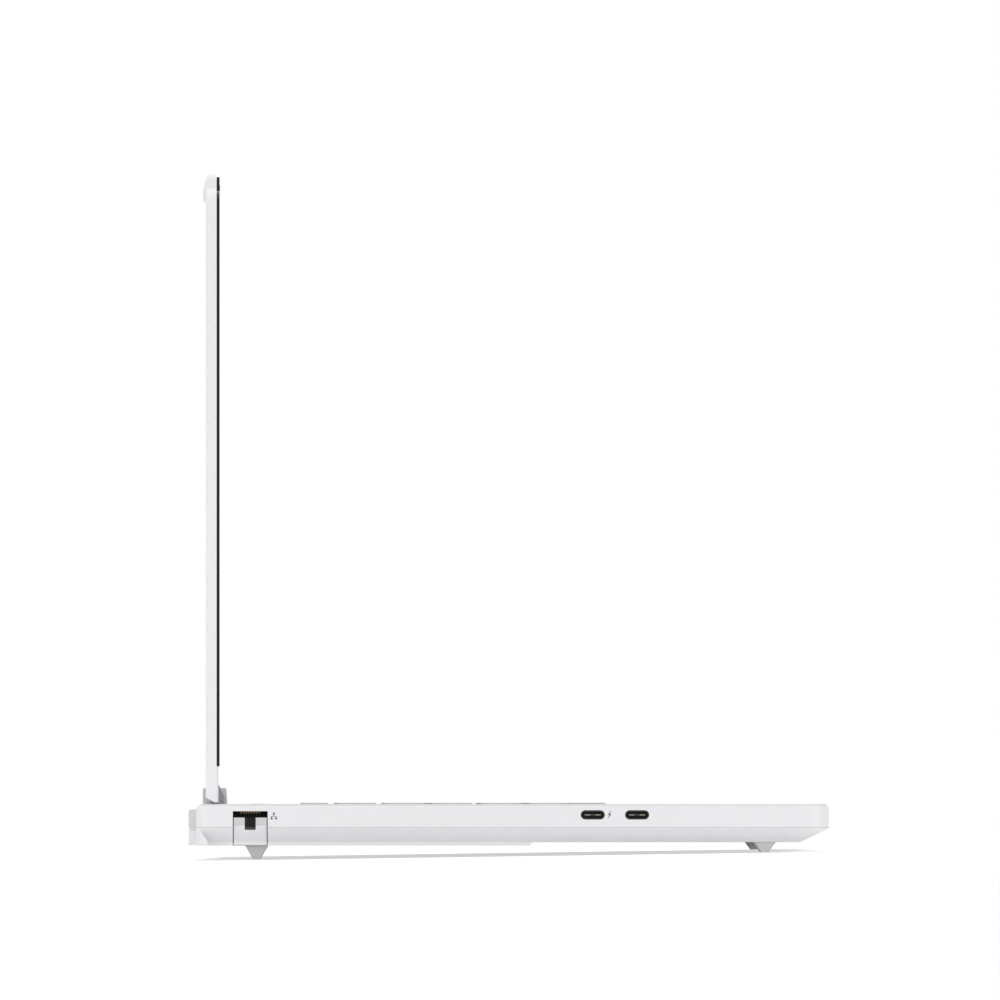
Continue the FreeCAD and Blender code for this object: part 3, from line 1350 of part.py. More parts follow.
# Large flat sockets and the audio socket on the right
def make_right_sockets():
    mouth = f"{HALF} - usb_c_recess"
    shells = []
    for place in ("usb_a_front_y", "usb_a_rear_y"):
        outer = block(
            "flat_socket_outer", (f"{mouth} - usb_a_length", mouth),
            (f"{place} - usb_a_width / 2", f"{place} + usb_a_width / 2"),
            ("usb_a_z - usb_a_height / 2", "usb_a_z + usb_a_height / 2"),
        )
        hollow = block(
            "flat_socket_hollow", (f"{mouth} - usb_a_length + usb_a_wall", f"{mouth} + usb_a_wall"),
            (f"{place} - usb_a_width / 2 + usb_a_wall", f"{place} + usb_a_width / 2 - usb_a_wall"),
            ("usb_a_z - usb_a_height / 2 + usb_a_wall", "usb_a_z + usb_a_height / 2 - usb_a_wall"),
        )
        top = "usb_a_z + usb_a_height / 2 - usb_a_wall - usb_a_tongue_gap"
        tongue = block(
            "flat_socket_tongue", (f"{mouth} - usb_a_length", f"{mouth} - usb_a_tongue"),
            (f"{place} - usb_a_width / 2 + 2 * usb_a_wall", f"{place} + usb_a_width / 2 - 2 * usb_a_wall"),
            (f"{top} - usb_a_tongue", top),
        )
        shell = cut("flat_socket_shell", outer, [hollow])
        shells.append(joined("flat_socket", [shell, tongue]))
    subpart("flat_sockets", shells)

    audio = new_body("audio_socket")
    case = rectangle(
        "audio_y - audio_width / 2", USB_A_BOARD, "audio_y + audio_width / 2", "usb_a_z + audio_width / 2"
    )
    pad(audio, "YZ_Plane", f"{HALF} - side_wall - audio_margin", [case], "audio_length", reverse=True)
    nose = circle("audio_y", "usb_a_z", "audio_nose")
    pad(audio, "YZ_Plane", f"{HALF} - side_wall - audio_margin", [nose], "side_wall")
    bore = circle("audio_y", "usb_a_z", "audio_bore")
    pocket(audio, "YZ_Plane", HALF, [bore], "audio_length")
    board = block(
        "right_board_sheet", (f"{HALF} - socket_board_depth", f"{HALF} - side_wall - 3 * usb_c_wall"),
        ("audio_y - audio_width", "usb_a_rear_y + usb_a_width / 2"),
        (f"{USB_A_BOARD} - socket_board", USB_A_BOARD),
    )
    subpart("right_socket_board", [board])


# Main board with its standoffs and the modules plugged into its underside
def make_main_board():
    board = new_body("main_board")
    outline = polygon(
        ("-board_half", "board_front"), ("board_half", "board_front"), ("board_half", "board_shoulder"),
        ("board_core", "board_shoulder"), ("board_core", "board_rear"), ("-board_core", "board_rear"),
        ("-board_core", "board_shoulder"), ("-wing_inner", "board_shoulder"), ("-wing_inner", "wing_rear"),
        ("-board_half", "wing_rear"),
    )
    pad(board, "XY_Plane", BOARD_UNDER, [outline], "board_thickness")

    front_row, middle_row = "board_front + standoff_edge", "board_shoulder + standoff_radius"
    spots = [("0", front_row), ("-(board_half + wing_inner) / 2", "fan_y")]
    for side in (LEFT, RIGHT):
        spots.append((f"{side} * (board_half - standoff_edge)", front_row))
        spots.append((f"{side} * (board_core - standoff_edge)", middle_row))
    posts = [
        rod("board_post", (x, y, BOARD_TOP), "standoff_radius", "standoff_height") for x, y in spots
    ]
    subpart("board_standoffs", posts)

    packages = []
    for name, half_x, half_y, middle in (
        ("processor_package", "processor_width / 2", "processor_depth / 2", "processor_y"),
        ("graphics_package", "graphics_size / 2", "graphics_size / 2", "graphics_y"),
    ):
        along = (f"{middle} - {half_y}", f"{middle} + {half_y}")
        packages.append(block(name, (f"-{half_x}", half_x), along, (PACKAGE_UNDER, BOARD_UNDER)))
    subpart("processor_packages", packages)

    plate = block(
        "cold_plate_sheet", ("-cold_plate_half", "cold_plate_half"),
        ("processor_y - processor_depth / 2", "graphics_y + graphics_size / 2"), (COLD_UNDER, PACKAGE_UNDER),
    )
    subpart("cold_plate", [plate])

    left = "-board_half + 2 * connector_depth"
    subpart("storage_card", [plugged_card("storage", left, "storage_length", "storage_width")])
    first = "connector_depth - memory_width"
    second = f"{first} + memory_width + connector_depth"
    cards = [plugged_card("memory", start, "memory_width", "memory_depth") for start in (first, second)]
    subpart("memory_modules", cards)
    wireless_left = f"{second} + memory_width + 2 * connector_depth"
    subpart("wireless_card", [plugged_card("wireless", wireless_left, "wireless_width", "wireless_depth")])


def plugged_card(name, left, width, depth):
    """A small card held a little below the main board by the connector along one edge."""
    right = f"{left} + {width}"
    top = f"{BOARD_UNDER} - module_gap"
    card = block(
        f"{name}_card_sheet", (left, right), ("module_front", f"module_front + {depth}"),
        (f"{top} - module_thickness", top),
    )
    connector = block(
        f"{name}_connector", (left, right), ("module_front", "module_front + connector_depth"),
        (f"{top} - module_thickness", BOARD_UNDER),
    )
    return joined(f"{name}_with_connector", [card, connector])


# Cooling: heat pipes, heat sinks and two blowers
def make_heat_pipes():
    pipes = new_body("heat_pipes")
    for side, start in ((LEFT, "processor_y"), (RIGHT, "graphics_y")):
        half = "pipe_width / 2"
        bend = f"{side} * pipe_bend"
        away = f"{side} * pipe_width / 2"
        inner_end = f"-{side} * pipe_start"
        outline = polygon(
            (inner_end, f"{start} - {half}"), (f"{bend} + {away}", f"{start} - {half}"),
            (f"{bend} + {away}", f"pipe_rear_y - {half}"), (f"{side} * pipe_end", f"pipe_rear_y - {half}"),
            (f"{side} * pipe_end", f"pipe_rear_y + {half}"), (f"{bend} - {away}", f"pipe_rear_y + {half}"),
            (f"{bend} - {away}", f"{start} + {half}"), (inner_end, f"{start} + {half}"),
        )
        pad(pipes, "XY_Plane", PIPE_UNDER, [outline], "pipe_height")
    bend_x = value("pipe_bend")
    width = value("pipe_width")

    def at_bend(box):
        return runs_along(box, "Z") and abs(abs(box.XMin) - bend_x) < width

    def outer_corner(box):
        beyond = abs(box.XMin) > bend_x
        forward = box.YMin < value("graphics_y + pipe_width")
        return at_bend(box) and beyond == forward

    soften(pipes, "Fillet", "pipe_inner_round + pipe_width / 2", outer_corner)
    soften(pipes, "Fillet", "pipe_inner_round", lambda box: at_bend(box) and not outer_corner(box))


def make_heat_sinks():
    sinks = []
    low, high = COLD_UNDER, f"{COLD_UNDER} + sink_height"
    along = ("sink_front", "base_depth - side_wall - sink_rear_gap")
    width = "exhaust_pitch * (exhaust_count - 1) + exhaust_slot + sink_fin"
    for side in (LEFT, RIGHT):
        start, end = span(side, "exhaust_start - sink_fin", f"exhaust_start + {width}")
        pieces = [
            block("sink_foot", (start, end), along, (low, f"{low} + sink_plate")),
            block("sink_roof", (start, end), along, (f"{high} - sink_plate", high)),
        ]
        for fin in range(2 * int(SIZES["exhaust_count"])):
            near = f"exhaust_start - sink_fin + {fin} * exhaust_pitch / 2"
            pieces.append(block("sink_fin_sheet", span(side, near, f"{near} + sink_fin"), along, (low, high)))
        sinks.append(joined("sink_stack", pieces))
    subpart("heat_sinks", sinks)


def make_fan(name, side):
    x, y = f"{side} * fan_x", "fan_y"
    low, high = BULGE_FLOOR, f"{BULGE_FLOOR} + fan_height"
    outer = "fan_radius + fan_wall"
    mouth = "sink_front - fan_mouth_gap"
    round_case = rod("fan_drum", (x, y, low), outer, "fan_height")
    outlet = block(
        "fan_outlet", (f"{x} - ({outer})", f"{x} + {outer}"), (y, mouth), (low, high)
    )
    room_low, room = f"{low} + fan_wall", "fan_height - 2 * fan_wall"
    round_room = rod("fan_room", (x, y, room_low), "fan_radius", room)
    outlet_room = block(
        "fan_outlet_room", (f"{x} - fan_radius", f"{x} + fan_radius"), (y, f"{mouth} + fan_wall"),
        (room_low, f"{room_low} + {room}"),
    )
    intakes = rod("fan_intakes", (x, y, f"{low} - fan_wall"), "fan_intake", "fan_height + 2 * fan_wall")
    hollow = joined("fan_hollow", [round_room, outlet_room, intakes])
    shell = cut("fan_shell", joined("fan_case", [round_case, outlet]), [hollow])
    boss = rod("fan_boss_disc", (x, y, low), "fan_boss", "fan_wall")
    shaft = rod("fan_shaft_pin", (x, y, low), "fan_shaft", "fan_height - fan_wall")
    arms = [
        block("fan_spoke_bar", (f"{x} - fan_spoke / 2", f"{x} + fan_spoke / 2"),
              (f"{y} - fan_intake - fan_wall", f"{y} + fan_intake + fan_wall"), (low, room_low)),
        block("fan_spoke_bar", (f"{x} - fan_intake - fan_wall", f"{x} + fan_intake + fan_wall"),
              (f"{y} - fan_spoke / 2", f"{y} + fan_spoke / 2"), (low, room_low)),
    ]
    subpart(f"{name}_fan_housing", [joined("fan_housing_whole", [shell, boss, shaft, *arms])])

    rotor = new_body(f"{name}_fan_rotor")
    foot = f"{low} + fan_wall + fan_hub_rest"
    tall = "fan_height - 2 * fan_wall - 2 * fan_hub_rest"
    pad(rotor, "XY_Plane", foot, [circle(x, y, "fan_hub")], tall)
    reach = "fan_radius - fan_tip_gap"
    root, tip = f"{x} + fan_hub - fan_blade", f"{x} + {reach}"
    blade = polygon(
        (root, f"{y} - fan_blade / 2"), (tip, f"{y} + fan_blade_sweep - fan_blade / 2"),
        (tip, f"{y} + fan_blade_sweep + fan_blade / 2"), (root, f"{y} + fan_blade / 2"),
    )
    vane = pad(rotor, "XY_Plane", foot, [blade], tall)
    centre = rotor.newObject("PartDesign::Line", f"{name}_fan_axis")
    bind(centre, "Placement.Base.x", x)
    bind(centre, "Placement.Base.y", y)
    ring = rotor.newObject("PartDesign::PolarPattern", f"{name}_fan_blades")
    ring.Originals = [vane]
    ring.Axis = (centre, [""])
    ring.Angle = 360
    bind(ring, "Occurrences", "fan_blades")
    rotor.Tip = ring
    DOC.recompute()
    pocket(rotor, "XY_Plane", high, [circle(x, y, "fan_shaft + fan_play")])


# Battery pack with a groove between its cells, and the speaker boxes
def make_battery():
    battery = new_body("battery_pack")
    outline = rectangle("-battery_half", "battery_front", "battery_half", "battery_front + battery_depth")
    pad(battery, "XY_Plane", "floor_plate", [outline], "battery_height")
    width = "2 * battery_half / battery_cells"
    groove = rectangle(
        f"{width} - battery_half - battery_groove / 2", "battery_front - battery_groove",
        f"{width} - battery_half + battery_groove / 2", "battery_front + battery_depth + battery_groove",
    )
    top = "floor_plate + battery_height"
    first = pocket(battery, "XY_Plane", top, [groove], "battery_groove_depth")
    repeat(battery, first, "X_Axis", f"{width} * (battery_cells - 2)", "battery_cells - 1")


def make_speakers():
    boxes = []
    for side in (LEFT, RIGHT):
        box = block(
            "speaker_box", span(side, "speaker_inner", "speaker_inner + speaker_width"),
            ("speaker_front", "speaker_front + speaker_depth"),
            ("floor_plate", "floor_plate + speaker_height"),
        )
        boxes.append(rounded("speaker_round_box", box, "speaker_round", UPRIGHT_EDGES))
    subpart("speakers", boxes)


def make_screws():
    screws = []
    for x, y in SCREWS:
        seat = "0" if y == "screw_front_y" else "0 - bulge_drop"
        head = rod("screw_head_disc", (x, y, seat), "screw_head", "screw_head_height")
        shank = rod("screw_shank_rod", (x, y, seat), "screw_shank", "screw_length")
        screws.append(joined("screw", [head, shank]))
    subpart("bottom_screws", screws)


def stance():
    """The tilt and shift that stand the assembly on its feet, over the origin."""
    tilt = math.atan(value(FLOOR_SLOPE))
    rise, run = math.sin(tilt), math.cos(tilt)
    lift = value("front_foot_drop") * run - value("front_foot_y") * rise
    front = -value("deck_height - front_top_round") * rise
    rear = value("base_depth + rear_trim_depth") * run + value("rear_trim_foot") * rise
    turn = FreeCAD.Rotation(Vector(1, 0, 0), math.degrees(tilt))
    return FreeCAD.Placement(Vector(0, -(front + rear) / 2, lift), turn)


def write_subparts():
    """Check every object and sub-part, stand the assembly up and write one file for each."""
    DOC.recompute()
    failed = [item.Name for item in DOC.Objects if {"Invalid", "Error"} & set(item.State)]
    if failed:
        raise ValueError(f"failed objects: {failed}")
    place = stance()
    os.makedirs("parts", exist_ok=True)
    for item in SUBPARTS:
        item.Placement = place
    DOC.recompute()
    for item in SUBPARTS:
        if item.Shape.isNull() or not item.Shape.isValid() or not item.Shape.Solids:
            raise ValueError(f"{item.Label} has no valid solid")
    for item in SUBPARTS:
        item.Shape.exportStep(f"parts/{item.Label}.step")
    print(f"{len(SUBPARTS)} sub-parts, stance {place}")


make_top_case()
make_bottom_cover()
make_rear_grille()
make_keyboard()
make_touchpad()
make_power_button()
for side_name, side_sign in SIDES.items():
    make_hinge(side_name, side_sign)
    make_fan(side_name, side_sign)
make_lid_cover()
make_lid_front()
make_feet("front", "0")
make_feet("rear", "0 - bulge_drop")
make_network_socket()
make_small_sockets()
make_right_sockets()
make_main_board()
make_heat_pipes()
make_heat_sinks()
make_battery()
make_speakers()
make_screws()
write_subparts()
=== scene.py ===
# %% [markdown]
# # A white laptop, dressed for the studio
# The shape of this laptop comes ready made as a set of named nodes, each sitting at the origin with
# its place in its own mesh. Here it gets its finishes, its printed key legends and a few small fittings,
# and then a floor, lamps and a camera. Loading comes first, because every later cell asks for nodes by name.

# %% Load the frame
import json
import math
import bpy
import numpy as np
from mathutils import Matrix, Vector


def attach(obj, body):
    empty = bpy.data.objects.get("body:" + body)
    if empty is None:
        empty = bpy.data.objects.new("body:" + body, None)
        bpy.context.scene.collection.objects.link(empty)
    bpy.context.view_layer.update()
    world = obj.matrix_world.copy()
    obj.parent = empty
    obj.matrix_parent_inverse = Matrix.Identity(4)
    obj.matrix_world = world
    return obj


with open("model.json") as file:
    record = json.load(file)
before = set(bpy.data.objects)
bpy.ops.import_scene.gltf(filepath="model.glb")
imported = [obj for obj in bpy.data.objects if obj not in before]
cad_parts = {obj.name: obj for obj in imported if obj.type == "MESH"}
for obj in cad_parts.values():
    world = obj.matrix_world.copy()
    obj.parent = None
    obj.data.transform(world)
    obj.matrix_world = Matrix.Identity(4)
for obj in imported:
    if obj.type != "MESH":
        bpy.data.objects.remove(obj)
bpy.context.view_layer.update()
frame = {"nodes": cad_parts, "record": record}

# %% [markdown]
# The base stands on rubber feet, and the rear ones are taller, so the whole deck leans forward a
# little. Working in the deck's own frame is easier: X to the right, Y from the front edge to the back and Z
# up from the flat underside, in millimetres. One function turns such points into the metres of the frame.

# %% The deck's frame
MM_PER_M = 1000
DECK, HALF_WIDTH = 14.9, 178.0
HINGE_Y, HINGE_Z = 238.6, 16.8
joints = {joint["name"]: joint for joint in frame["record"]["behaviour"]["joints"]}
normal = joints["left_fan_spin"]["axis"]
LEAN = math.atan2(-normal[1], normal[2])


def on_deck(points):
    """Turn deck points in millimetres by the lean, about the hinge axis whose place is known in metres."""
    x, y, z = np.moveaxis(np.asarray(points, float), -1, 0)
    c, s = math.cos(LEAN), math.sin(LEAN)
    y, z = y - HINGE_Y, z - HINGE_Z
    turned = np.stack((x, y * c - z * s, y * s + z * c), -1)
    return turned / MM_PER_M + np.array(joints["lid_hinge"]["pos_m"])


print("hinge axis at", on_deck((0, HINGE_Y, HINGE_Z)))

# %% [markdown]
# ## The camera
# The picture is taken straight at the left side from far away. A long lens keeps the sides almost parallel.
# The camera stands level with the deck and in line with the display's glass, so neither surface shows its
# face, and it is rolled with the deck so that the deck is level in the picture.

# %% Camera
PICTURE, PIXEL = 1000, 0.39
FRONT_PIXEL, UNDERSIDE_PIXEL = 829.2, 842.2
GLASS_PIXEL, DECK_PIXEL = 219, 803
LENS, SENSOR, FAR_CLIP = 1700.0, 36.0, 100
reach = PICTURE * PIXEL * LENS / SENSOR


def pixel_on_side(x, y):
    """The deck point on the left side that a pixel shows, measured from the front edge and the underside."""
    return (-HALF_WIDTH, (FRONT_PIXEL - x) * PIXEL, (UNDERSIDE_PIXEL - y) * PIXEL)


aim = Vector(on_deck(pixel_on_side(PICTURE / 2, PICTURE / 2)))
eye = Vector(on_deck(np.add(pixel_on_side(GLASS_PIXEL, DECK_PIXEL), (-reach, 0, 0))))
ahead = (aim - eye).normalized()
upward = Vector((0, -math.sin(LEAN), math.cos(LEAN)))
right = ahead.cross(upward).normalized()
camera_data = bpy.data.cameras.new("side_camera")
camera_data.lens = LENS
camera_data.sensor_width = SENSOR
camera_data.clip_end = FAR_CLIP
camera = bpy.data.objects.new("side_camera", camera_data)
turn = Matrix((right, right.cross(ahead), -ahead)).transposed().to_4x4()
camera.matrix_world = Matrix.Translation(eye) @ turn
bpy.context.scene.collection.objects.link(camera)
bpy.context.scene.camera = camera
print("camera at", tuple(round(v, 3) for v in eye))

# %% [markdown]
# ## Shader maths
# Every finish is a small node tree. Writing the trees as Python sums keeps them readable: a `Wire` wraps one
# socket, the usual operators add Math nodes, and `node` adds any other kind of node.

# %% Wires
class Wire:
    """A socket of a node tree that can be added, multiplied and so on."""

    def __init__(self, tree, socket):
        self.tree, self.socket = tree, socket

    def node(self, kind, settings=None, output=0, **inputs):
        """Add a node, set its properties first, then fill its sockets by name or number."""
        item = self.tree.nodes.new(kind)
        for name, setting in (settings or {}).items():
            setattr(item, name, setting)
        for name, given in inputs.items():
            key = int(name[1:]) if name[1:].isdigit() else name.replace("_", " ")
            socket = item.inputs[key]
            if isinstance(given, Wire):
                self.tree.links.new(given.socket, socket)
            else:
                socket.default_value = given
        return Wire(self.tree, item.outputs[output])

    def maths(self, operation, *others):
        inputs = {f"_{index}": other for index, other in enumerate((self, *others))}
        return self.node("ShaderNodeMath", {"operation": operation}, **inputs)

    def __add__(self, other):
        return self.maths("ADD", other)

    def __mul__(self, other):
        return self.maths("MULTIPLY", other)

    def __rsub__(self, other):
        return (self * -1.0) + other

    def over(self, edge):
        return self.maths("GREATER_THAN", edge)

    def axis(self, letter):
        return self.node("ShaderNodeSeparateXYZ", output="XYZ".index(letter), _0=self)

    def between(self, low, high):
        return self.over(low) * (1 - self.over(high))

    def swing(self, middle, spread):
        """This wire's 0 to 1 laid evenly about a middle value."""
        return self * spread + (middle - spread / 2)

    def noise(self, scale, detail=3.0, stretch=(1, 1, 1)):
        spread = self.node("ShaderNodeVectorMath", {"operation": "MULTIPLY"}, _0=self, _1=stretch)
        return self.node("ShaderNodeTexNoise", Vector=spread, Scale=scale, Detail=detail)

    def cells(self, scale, feature="F1"):
        return self.node("ShaderNodeTexVoronoi", {"feature": feature}, Vector=self, Scale=scale)

    def mix(self, low, high):
        """A colour from low to high as this wire goes from 0 to 1."""
        return self.node("ShaderNodeMix", {"data_type": "RGBA"}, output=2, _0=self, _6=low, _7=high)


print("wires can:", [name for name in vars(Wire) if not name.startswith("_")])

# %% [markdown]
# A finish is a material with one Principled shader. Numbers that stay the same go straight into its sockets.
# What varies over the surface comes from a build function, which is given the Object coordinates as a wire. A
# bump is a height that only tilts the shading, so it goes through a Bump node on its way to the shader.

# %% A finish from wires
def finish(name, build, **fixed):
    """A new material whose build function returns the varying inputs of its shader, and a bump height."""
    material = bpy.data.materials.new(name)
    material.use_nodes = True
    tree = material.node_tree
    shader = tree.nodes["Principled BSDF"]
    for socket, number in fixed.items():
        shader.inputs[socket.replace("_", " ")].default_value = number
    place = Wire(tree, tree.nodes.new("ShaderNodeTexCoord").outputs["Object"])
    for socket, wire in build(place).items():
        if socket == "bump":
            height, strength, distance = wire
            wire = height.node("ShaderNodeBump", Height=height, Strength=strength, Distance=distance)
            socket = "Normal"
        tree.links.new(wire.socket, shader.inputs[socket.replace("_", " ")])
    return material


def bump(height, strength, distance):
    return height, strength, distance


print("materials before the first finish:", len(bpy.data.materials))

# %% [markdown]
# ## Finishes
# The shell is white paint over metal: almost one colour, with a very fine orange-peel ripple that breaks up
# reflections, and a faint clouding. Moulded plastic has a sharper, spark-eroded grain. Both come from noise
# on Object coordinates, so the pattern stays with the piece when the lid turns.

# %% Paint and plastic
def tone(colour, amount):
    """A colour made a little lighter or darker, with full alpha."""
    return (*(min(1.0, channel * amount) for channel in colour), 1.0)


def painted(colour, rough):
    """Paint: clouded colour, ripple in the bump, roughness that wanders slightly."""
    def build(place):
        cloud = place.noise(scale=9, detail=4)
        ripple = place.noise(scale=1800, detail=2)
        return {
            "Base_Color": cloud.mix(tone(colour, 0.975), tone(colour, 1.02)),
            "Roughness": place.noise(scale=60).swing(rough, spread=0.1),
            "bump": bump(ripple, strength=0.08, distance=0.0002),
        }
    return build


def moulded(colour, rough, grain=2600, depth=0.16):
    """Plastic: cellular grain in the bump and a speckle in the colour."""
    def build(place):
        pits = place.cells(grain)
        speckle = place.noise(scale=grain / 2, detail=2)
        return {
            "Base_Color": speckle.mix(tone(colour, 0.96), tone(colour, 1.03)),
            "Roughness": place.noise(scale=40).swing(rough, spread=0.12),
            "bump": bump(pits, strength=depth, distance=0.00015),
        }
    return build


WHITE, BLACK = (0.86, 0.86, 0.876), (0.022, 0.022, 0.024)
PAINT_ROUGH, PLASTIC_ROUGH, PAINT_GLOSS = 0.42, 0.5, 0.45
finishes = {
    "white_shell": finish("white_paint", painted(WHITE, PAINT_ROUGH), Specular_IOR_Level=PAINT_GLOSS),
    "white_plastic": finish("white_moulding", moulded(WHITE, PLASTIC_ROUGH)),
    "grey_trim": finish("grey_moulding", moulded((0.72, 0.72, 0.728), PLASTIC_ROUGH)),
    "hinge_grey": finish("hinge_moulding", moulded((0.78, 0.78, 0.793), rough=0.45)),
    "key_plastic": finish("key_moulding", moulded((0.62, 0.62, 0.632), rough=0.55, grain=3200, depth=0.1)),
    "button_metal": finish("button_paint", painted((0.74, 0.74, 0.752), rough=0.4)),
    "black_plastic": finish("black_moulding", moulded(BLACK, PLASTIC_ROUGH)),
    "dome_silicone": finish("silicone_film", moulded((0.7, 0.71, 0.72), rough=0.35, grain=900, depth=0.05)),
}
print("paint and plastic:", len(finishes))

# %% [markdown]
# Four finishes change with the height above the underside. The deck's rounded edge has a thin duller band,
# painted shade of the rounding, broken into patches like wear. The bottom cover has a dark line just under
# its seam with the top case, painted shade of the gap at the parting line. The drop jaw is darker above its
# knee than below it, painted shade under the wall's edge. The network socket's throat is black at the
# contacts, grey further down and pale at its floor; the grey is painted light from the back of the throat.
# One wire gives the height, and the bands are comparisons with it. The web between the keys is moulded white
# like the shell, so that the pale grey caps stand out from it.

# %% Finishes in bands
# SEAM_SHADE_WIDTH is the height of the painted shade line under the seam.
SEAM, SEAM_SHADE_WIDTH = 5.9, 0.22
EDGE_LOW, EDGE_HIGH = 14.3, 14.78
JAW_KNEE, JAW_TOP, THROAT_FLOOR = 6.5, 9.6, 6.0
THROAT_PAINTED_LIGHT, THROAT_PALE = (0.20, 0.20, 0.205, 1), (0.80, 0.80, 0.805, 1)


def deck_height(place):
    """Height above the flat underside, in millimetres: the turned z of on_deck, run backwards."""
    c, s = math.cos(LEAN), math.sin(LEAN)
    _, hinge_y, hinge_z = joints["lid_hinge"]["pos_m"]
    level = HINGE_Z + MM_PER_M * (hinge_y * s - hinge_z * c)
    return place.axis("Z") * (MM_PER_M * c) + place.axis("Y") * (-MM_PER_M * s) + level


def banded(base, band):
    """A finish whose colour is changed by band, a function of the place and of the colour so far."""
    def build(place):
        inputs = base(place)
        return {**inputs, "Base_Color": band(place, inputs["Base_Color"])}
    return build


def edge_shade_and_wear(place, paint):
    """Between the edge's two heights, painted shade of the rounded edge, broken into patches like wear: paint
    and a duller white.
    """
    patchy = place.noise(scale=45, detail=4).swing(1.0, spread=0.6)
    return (deck_height(place).between(EDGE_LOW, EDGE_HIGH) * patchy).mix(paint, tone(WHITE, 0.82))


def seam_gap_shade(place, plastic):
    """Just under the seam, a dark line: painted shade of the gap where the bottom cover meets the top case.
    """
    return deck_height(place).between(SEAM - SEAM_SHADE_WIDTH, SEAM).mix(plastic, tone(WHITE, 0.6))


def jaw_shade_above_knee(place, plastic):
    """Above the knee, a darker white: painted shade under the wall's edge."""
    return deck_height(place).over(JAW_KNEE).mix(plastic, tone(WHITE, 0.745))


def throat(place, plastic):
    """Pale under the floor's height, grey up to the jaw's top, the plastic itself above; the grey is painted
    light.
    """
    height = deck_height(place)
    lower = height.over(THROAT_FLOOR).mix(THROAT_PALE, THROAT_PAINTED_LIGHT)
    return height.over(JAW_TOP).mix(lower, plastic)


# The top case's paint carries the painted shade of its rounded top edge.
upper_shell = banded(painted(WHITE, PAINT_ROUGH), edge_shade_and_wear)
white_moulding = moulded(WHITE, PLASTIC_ROUGH)
# The socket moulding carries painted shade above the jaw's knee.
finishes["socket_grey"] = finish("socket_moulding_with_painted_shade", banded(white_moulding, jaw_shade_above_knee))
own_finish = {
    "keyboard_frame": finishes["white_plastic"],
    "top_case": finish("upper_shell", upper_shell, Specular_IOR_Level=PAINT_GLOSS),
    # The bottom cover's moulding carries a painted shade line under its seam.
    "bottom_cover": finish("lower_shell", banded(white_moulding, seam_gap_shade)),
    # The throat's grey band is painted light from the back of the socket.
    "network_socket": finish("throat_moulding", banded(moulded(BLACK, PLASTIC_ROUGH), throat)),
}
print("nodes with a finish of their own:", len(own_finish))

# %% [markdown]
# Metals differ in how they were worked. Each shows fine lines along the direction in which it was drawn, so
# its noise is stretched that way: along X for pressed steel and gold plate, along Y for copper pipe and up Z
# for the fins. The small sockets' shells are blackened, which leaves the lines but not the metal's shine.

# %% Metals
def drawn_metal(colour, rough, stretch):
    """Metal: noise stretched along the direction of working, in colour, roughness and bump."""
    def build(place):
        lines = place.noise(scale=900, detail=4, stretch=stretch)
        return {
            "Base_Color": lines.mix(tone(colour, 0.82), tone(colour, 1.12)),
            "Roughness": lines.swing(rough, spread=0.2),
            "bump": bump(lines, strength=0.12, distance=0.0001),
        }
    return build


ALONG_X = (0.05, 1, 1)
worked = {
    "dark_steel": ("pressed_steel", drawn_metal((0.30, 0.31, 0.33), rough=0.4, stretch=ALONG_X)),
    "socket_steel": ("folded_steel", drawn_metal((0.42, 0.42, 0.43), rough=0.32, stretch=ALONG_X)),
    # The gold is darkened well below its own colour: painted shade of the contacts deep in the socket.
    "contact_gold": ("gold_plate_painted_shade", drawn_metal((0.22, 0.17, 0.08), rough=0.4, stretch=(0.1, 1, 1))),
    "copper": ("bare_copper", drawn_metal((0.80, 0.42, 0.26), rough=0.35, stretch=(1, 0.2, 1))),
    "fin_metal": ("fin_sheet", drawn_metal((0.76, 0.76, 0.77), rough=0.35, stretch=(1, 1, 0.1))),
}
for slot, (name, build) in worked.items():
    finishes[slot] = finish(name, build, Metallic=1.0)
blackened = drawn_metal((0.02, 0.02, 0.021), rough=0.4, stretch=ALONG_X)
finishes["socket_black"] = finish("blackened_steel", blackened)
print("metals:", len(worked) + 1)

# %% [markdown]
# Boards, glass and rubber each have a pattern of their own. A circuit board is copper tracks under green
# lacquer: the edges of large cells stand in for tracks, and the middles of small ones for bright solder pads.
# The display's glass is near black and shows its lit area as a shade only, the touchpad's glass is satin, and
# rubber is matt with a soft mottle.

# %% Boards, glass and rubber
def lacquered_board(place):
    """Circuit board: green lacquer over cell-edged copper tracks, with a scatter of bright pads."""
    lacquer, track, pad_metal = (0.012, 0.06, 0.035, 1), (0.03, 0.13, 0.075, 1), (0.72, 0.56, 0.26, 1)
    steepness, pad_reach = 12, 0.16
    edges = place.cells(scale=260, feature="DISTANCE_TO_EDGE")
    lines = 1 - (edges * steepness).maths("MINIMUM", 1.0)
    pads = 1 - place.cells(scale=420).over(pad_reach)
    return {
        "Base_Color": pads.mix(lines.mix(lacquer, track), pad_metal),
        "Roughness": lines.swing(0.36, spread=0.12),
        "bump": bump(lines + pads, strength=0.25, distance=0.00008),
    }


def black_pane(place):
    """Display glass: near black, with the lit area a shade apart from its printed border."""
    half_width, low, high = 0.1722, 0.0415, 0.2545
    border, panel = (0.006, 0.006, 0.007, 1), (0.011, 0.011, 0.013, 1)
    lit = place.axis("X").between(-half_width, half_width) * place.axis("Z").between(low, high)
    smears = place.noise(scale=30, detail=5)
    return {
        "Base_Color": lit.mix(border, panel),
        "Roughness": smears.swing(0.09, spread=0.08) + lit * 0.1,
    }


def touch_pane(place):
    """Touchpad glass: satin white with the faintest polish where fingers travel."""
    worn = place.noise(scale=14, detail=3)
    return {
        "Base_Color": worn.mix((0.76, 0.76, 0.774, 1), (0.79, 0.79, 0.804, 1)),
        "Roughness": worn.swing(0.34, spread=0.16),
        "bump": bump(place.noise(scale=4000, detail=2), strength=0.05, distance=0.0001),
    }


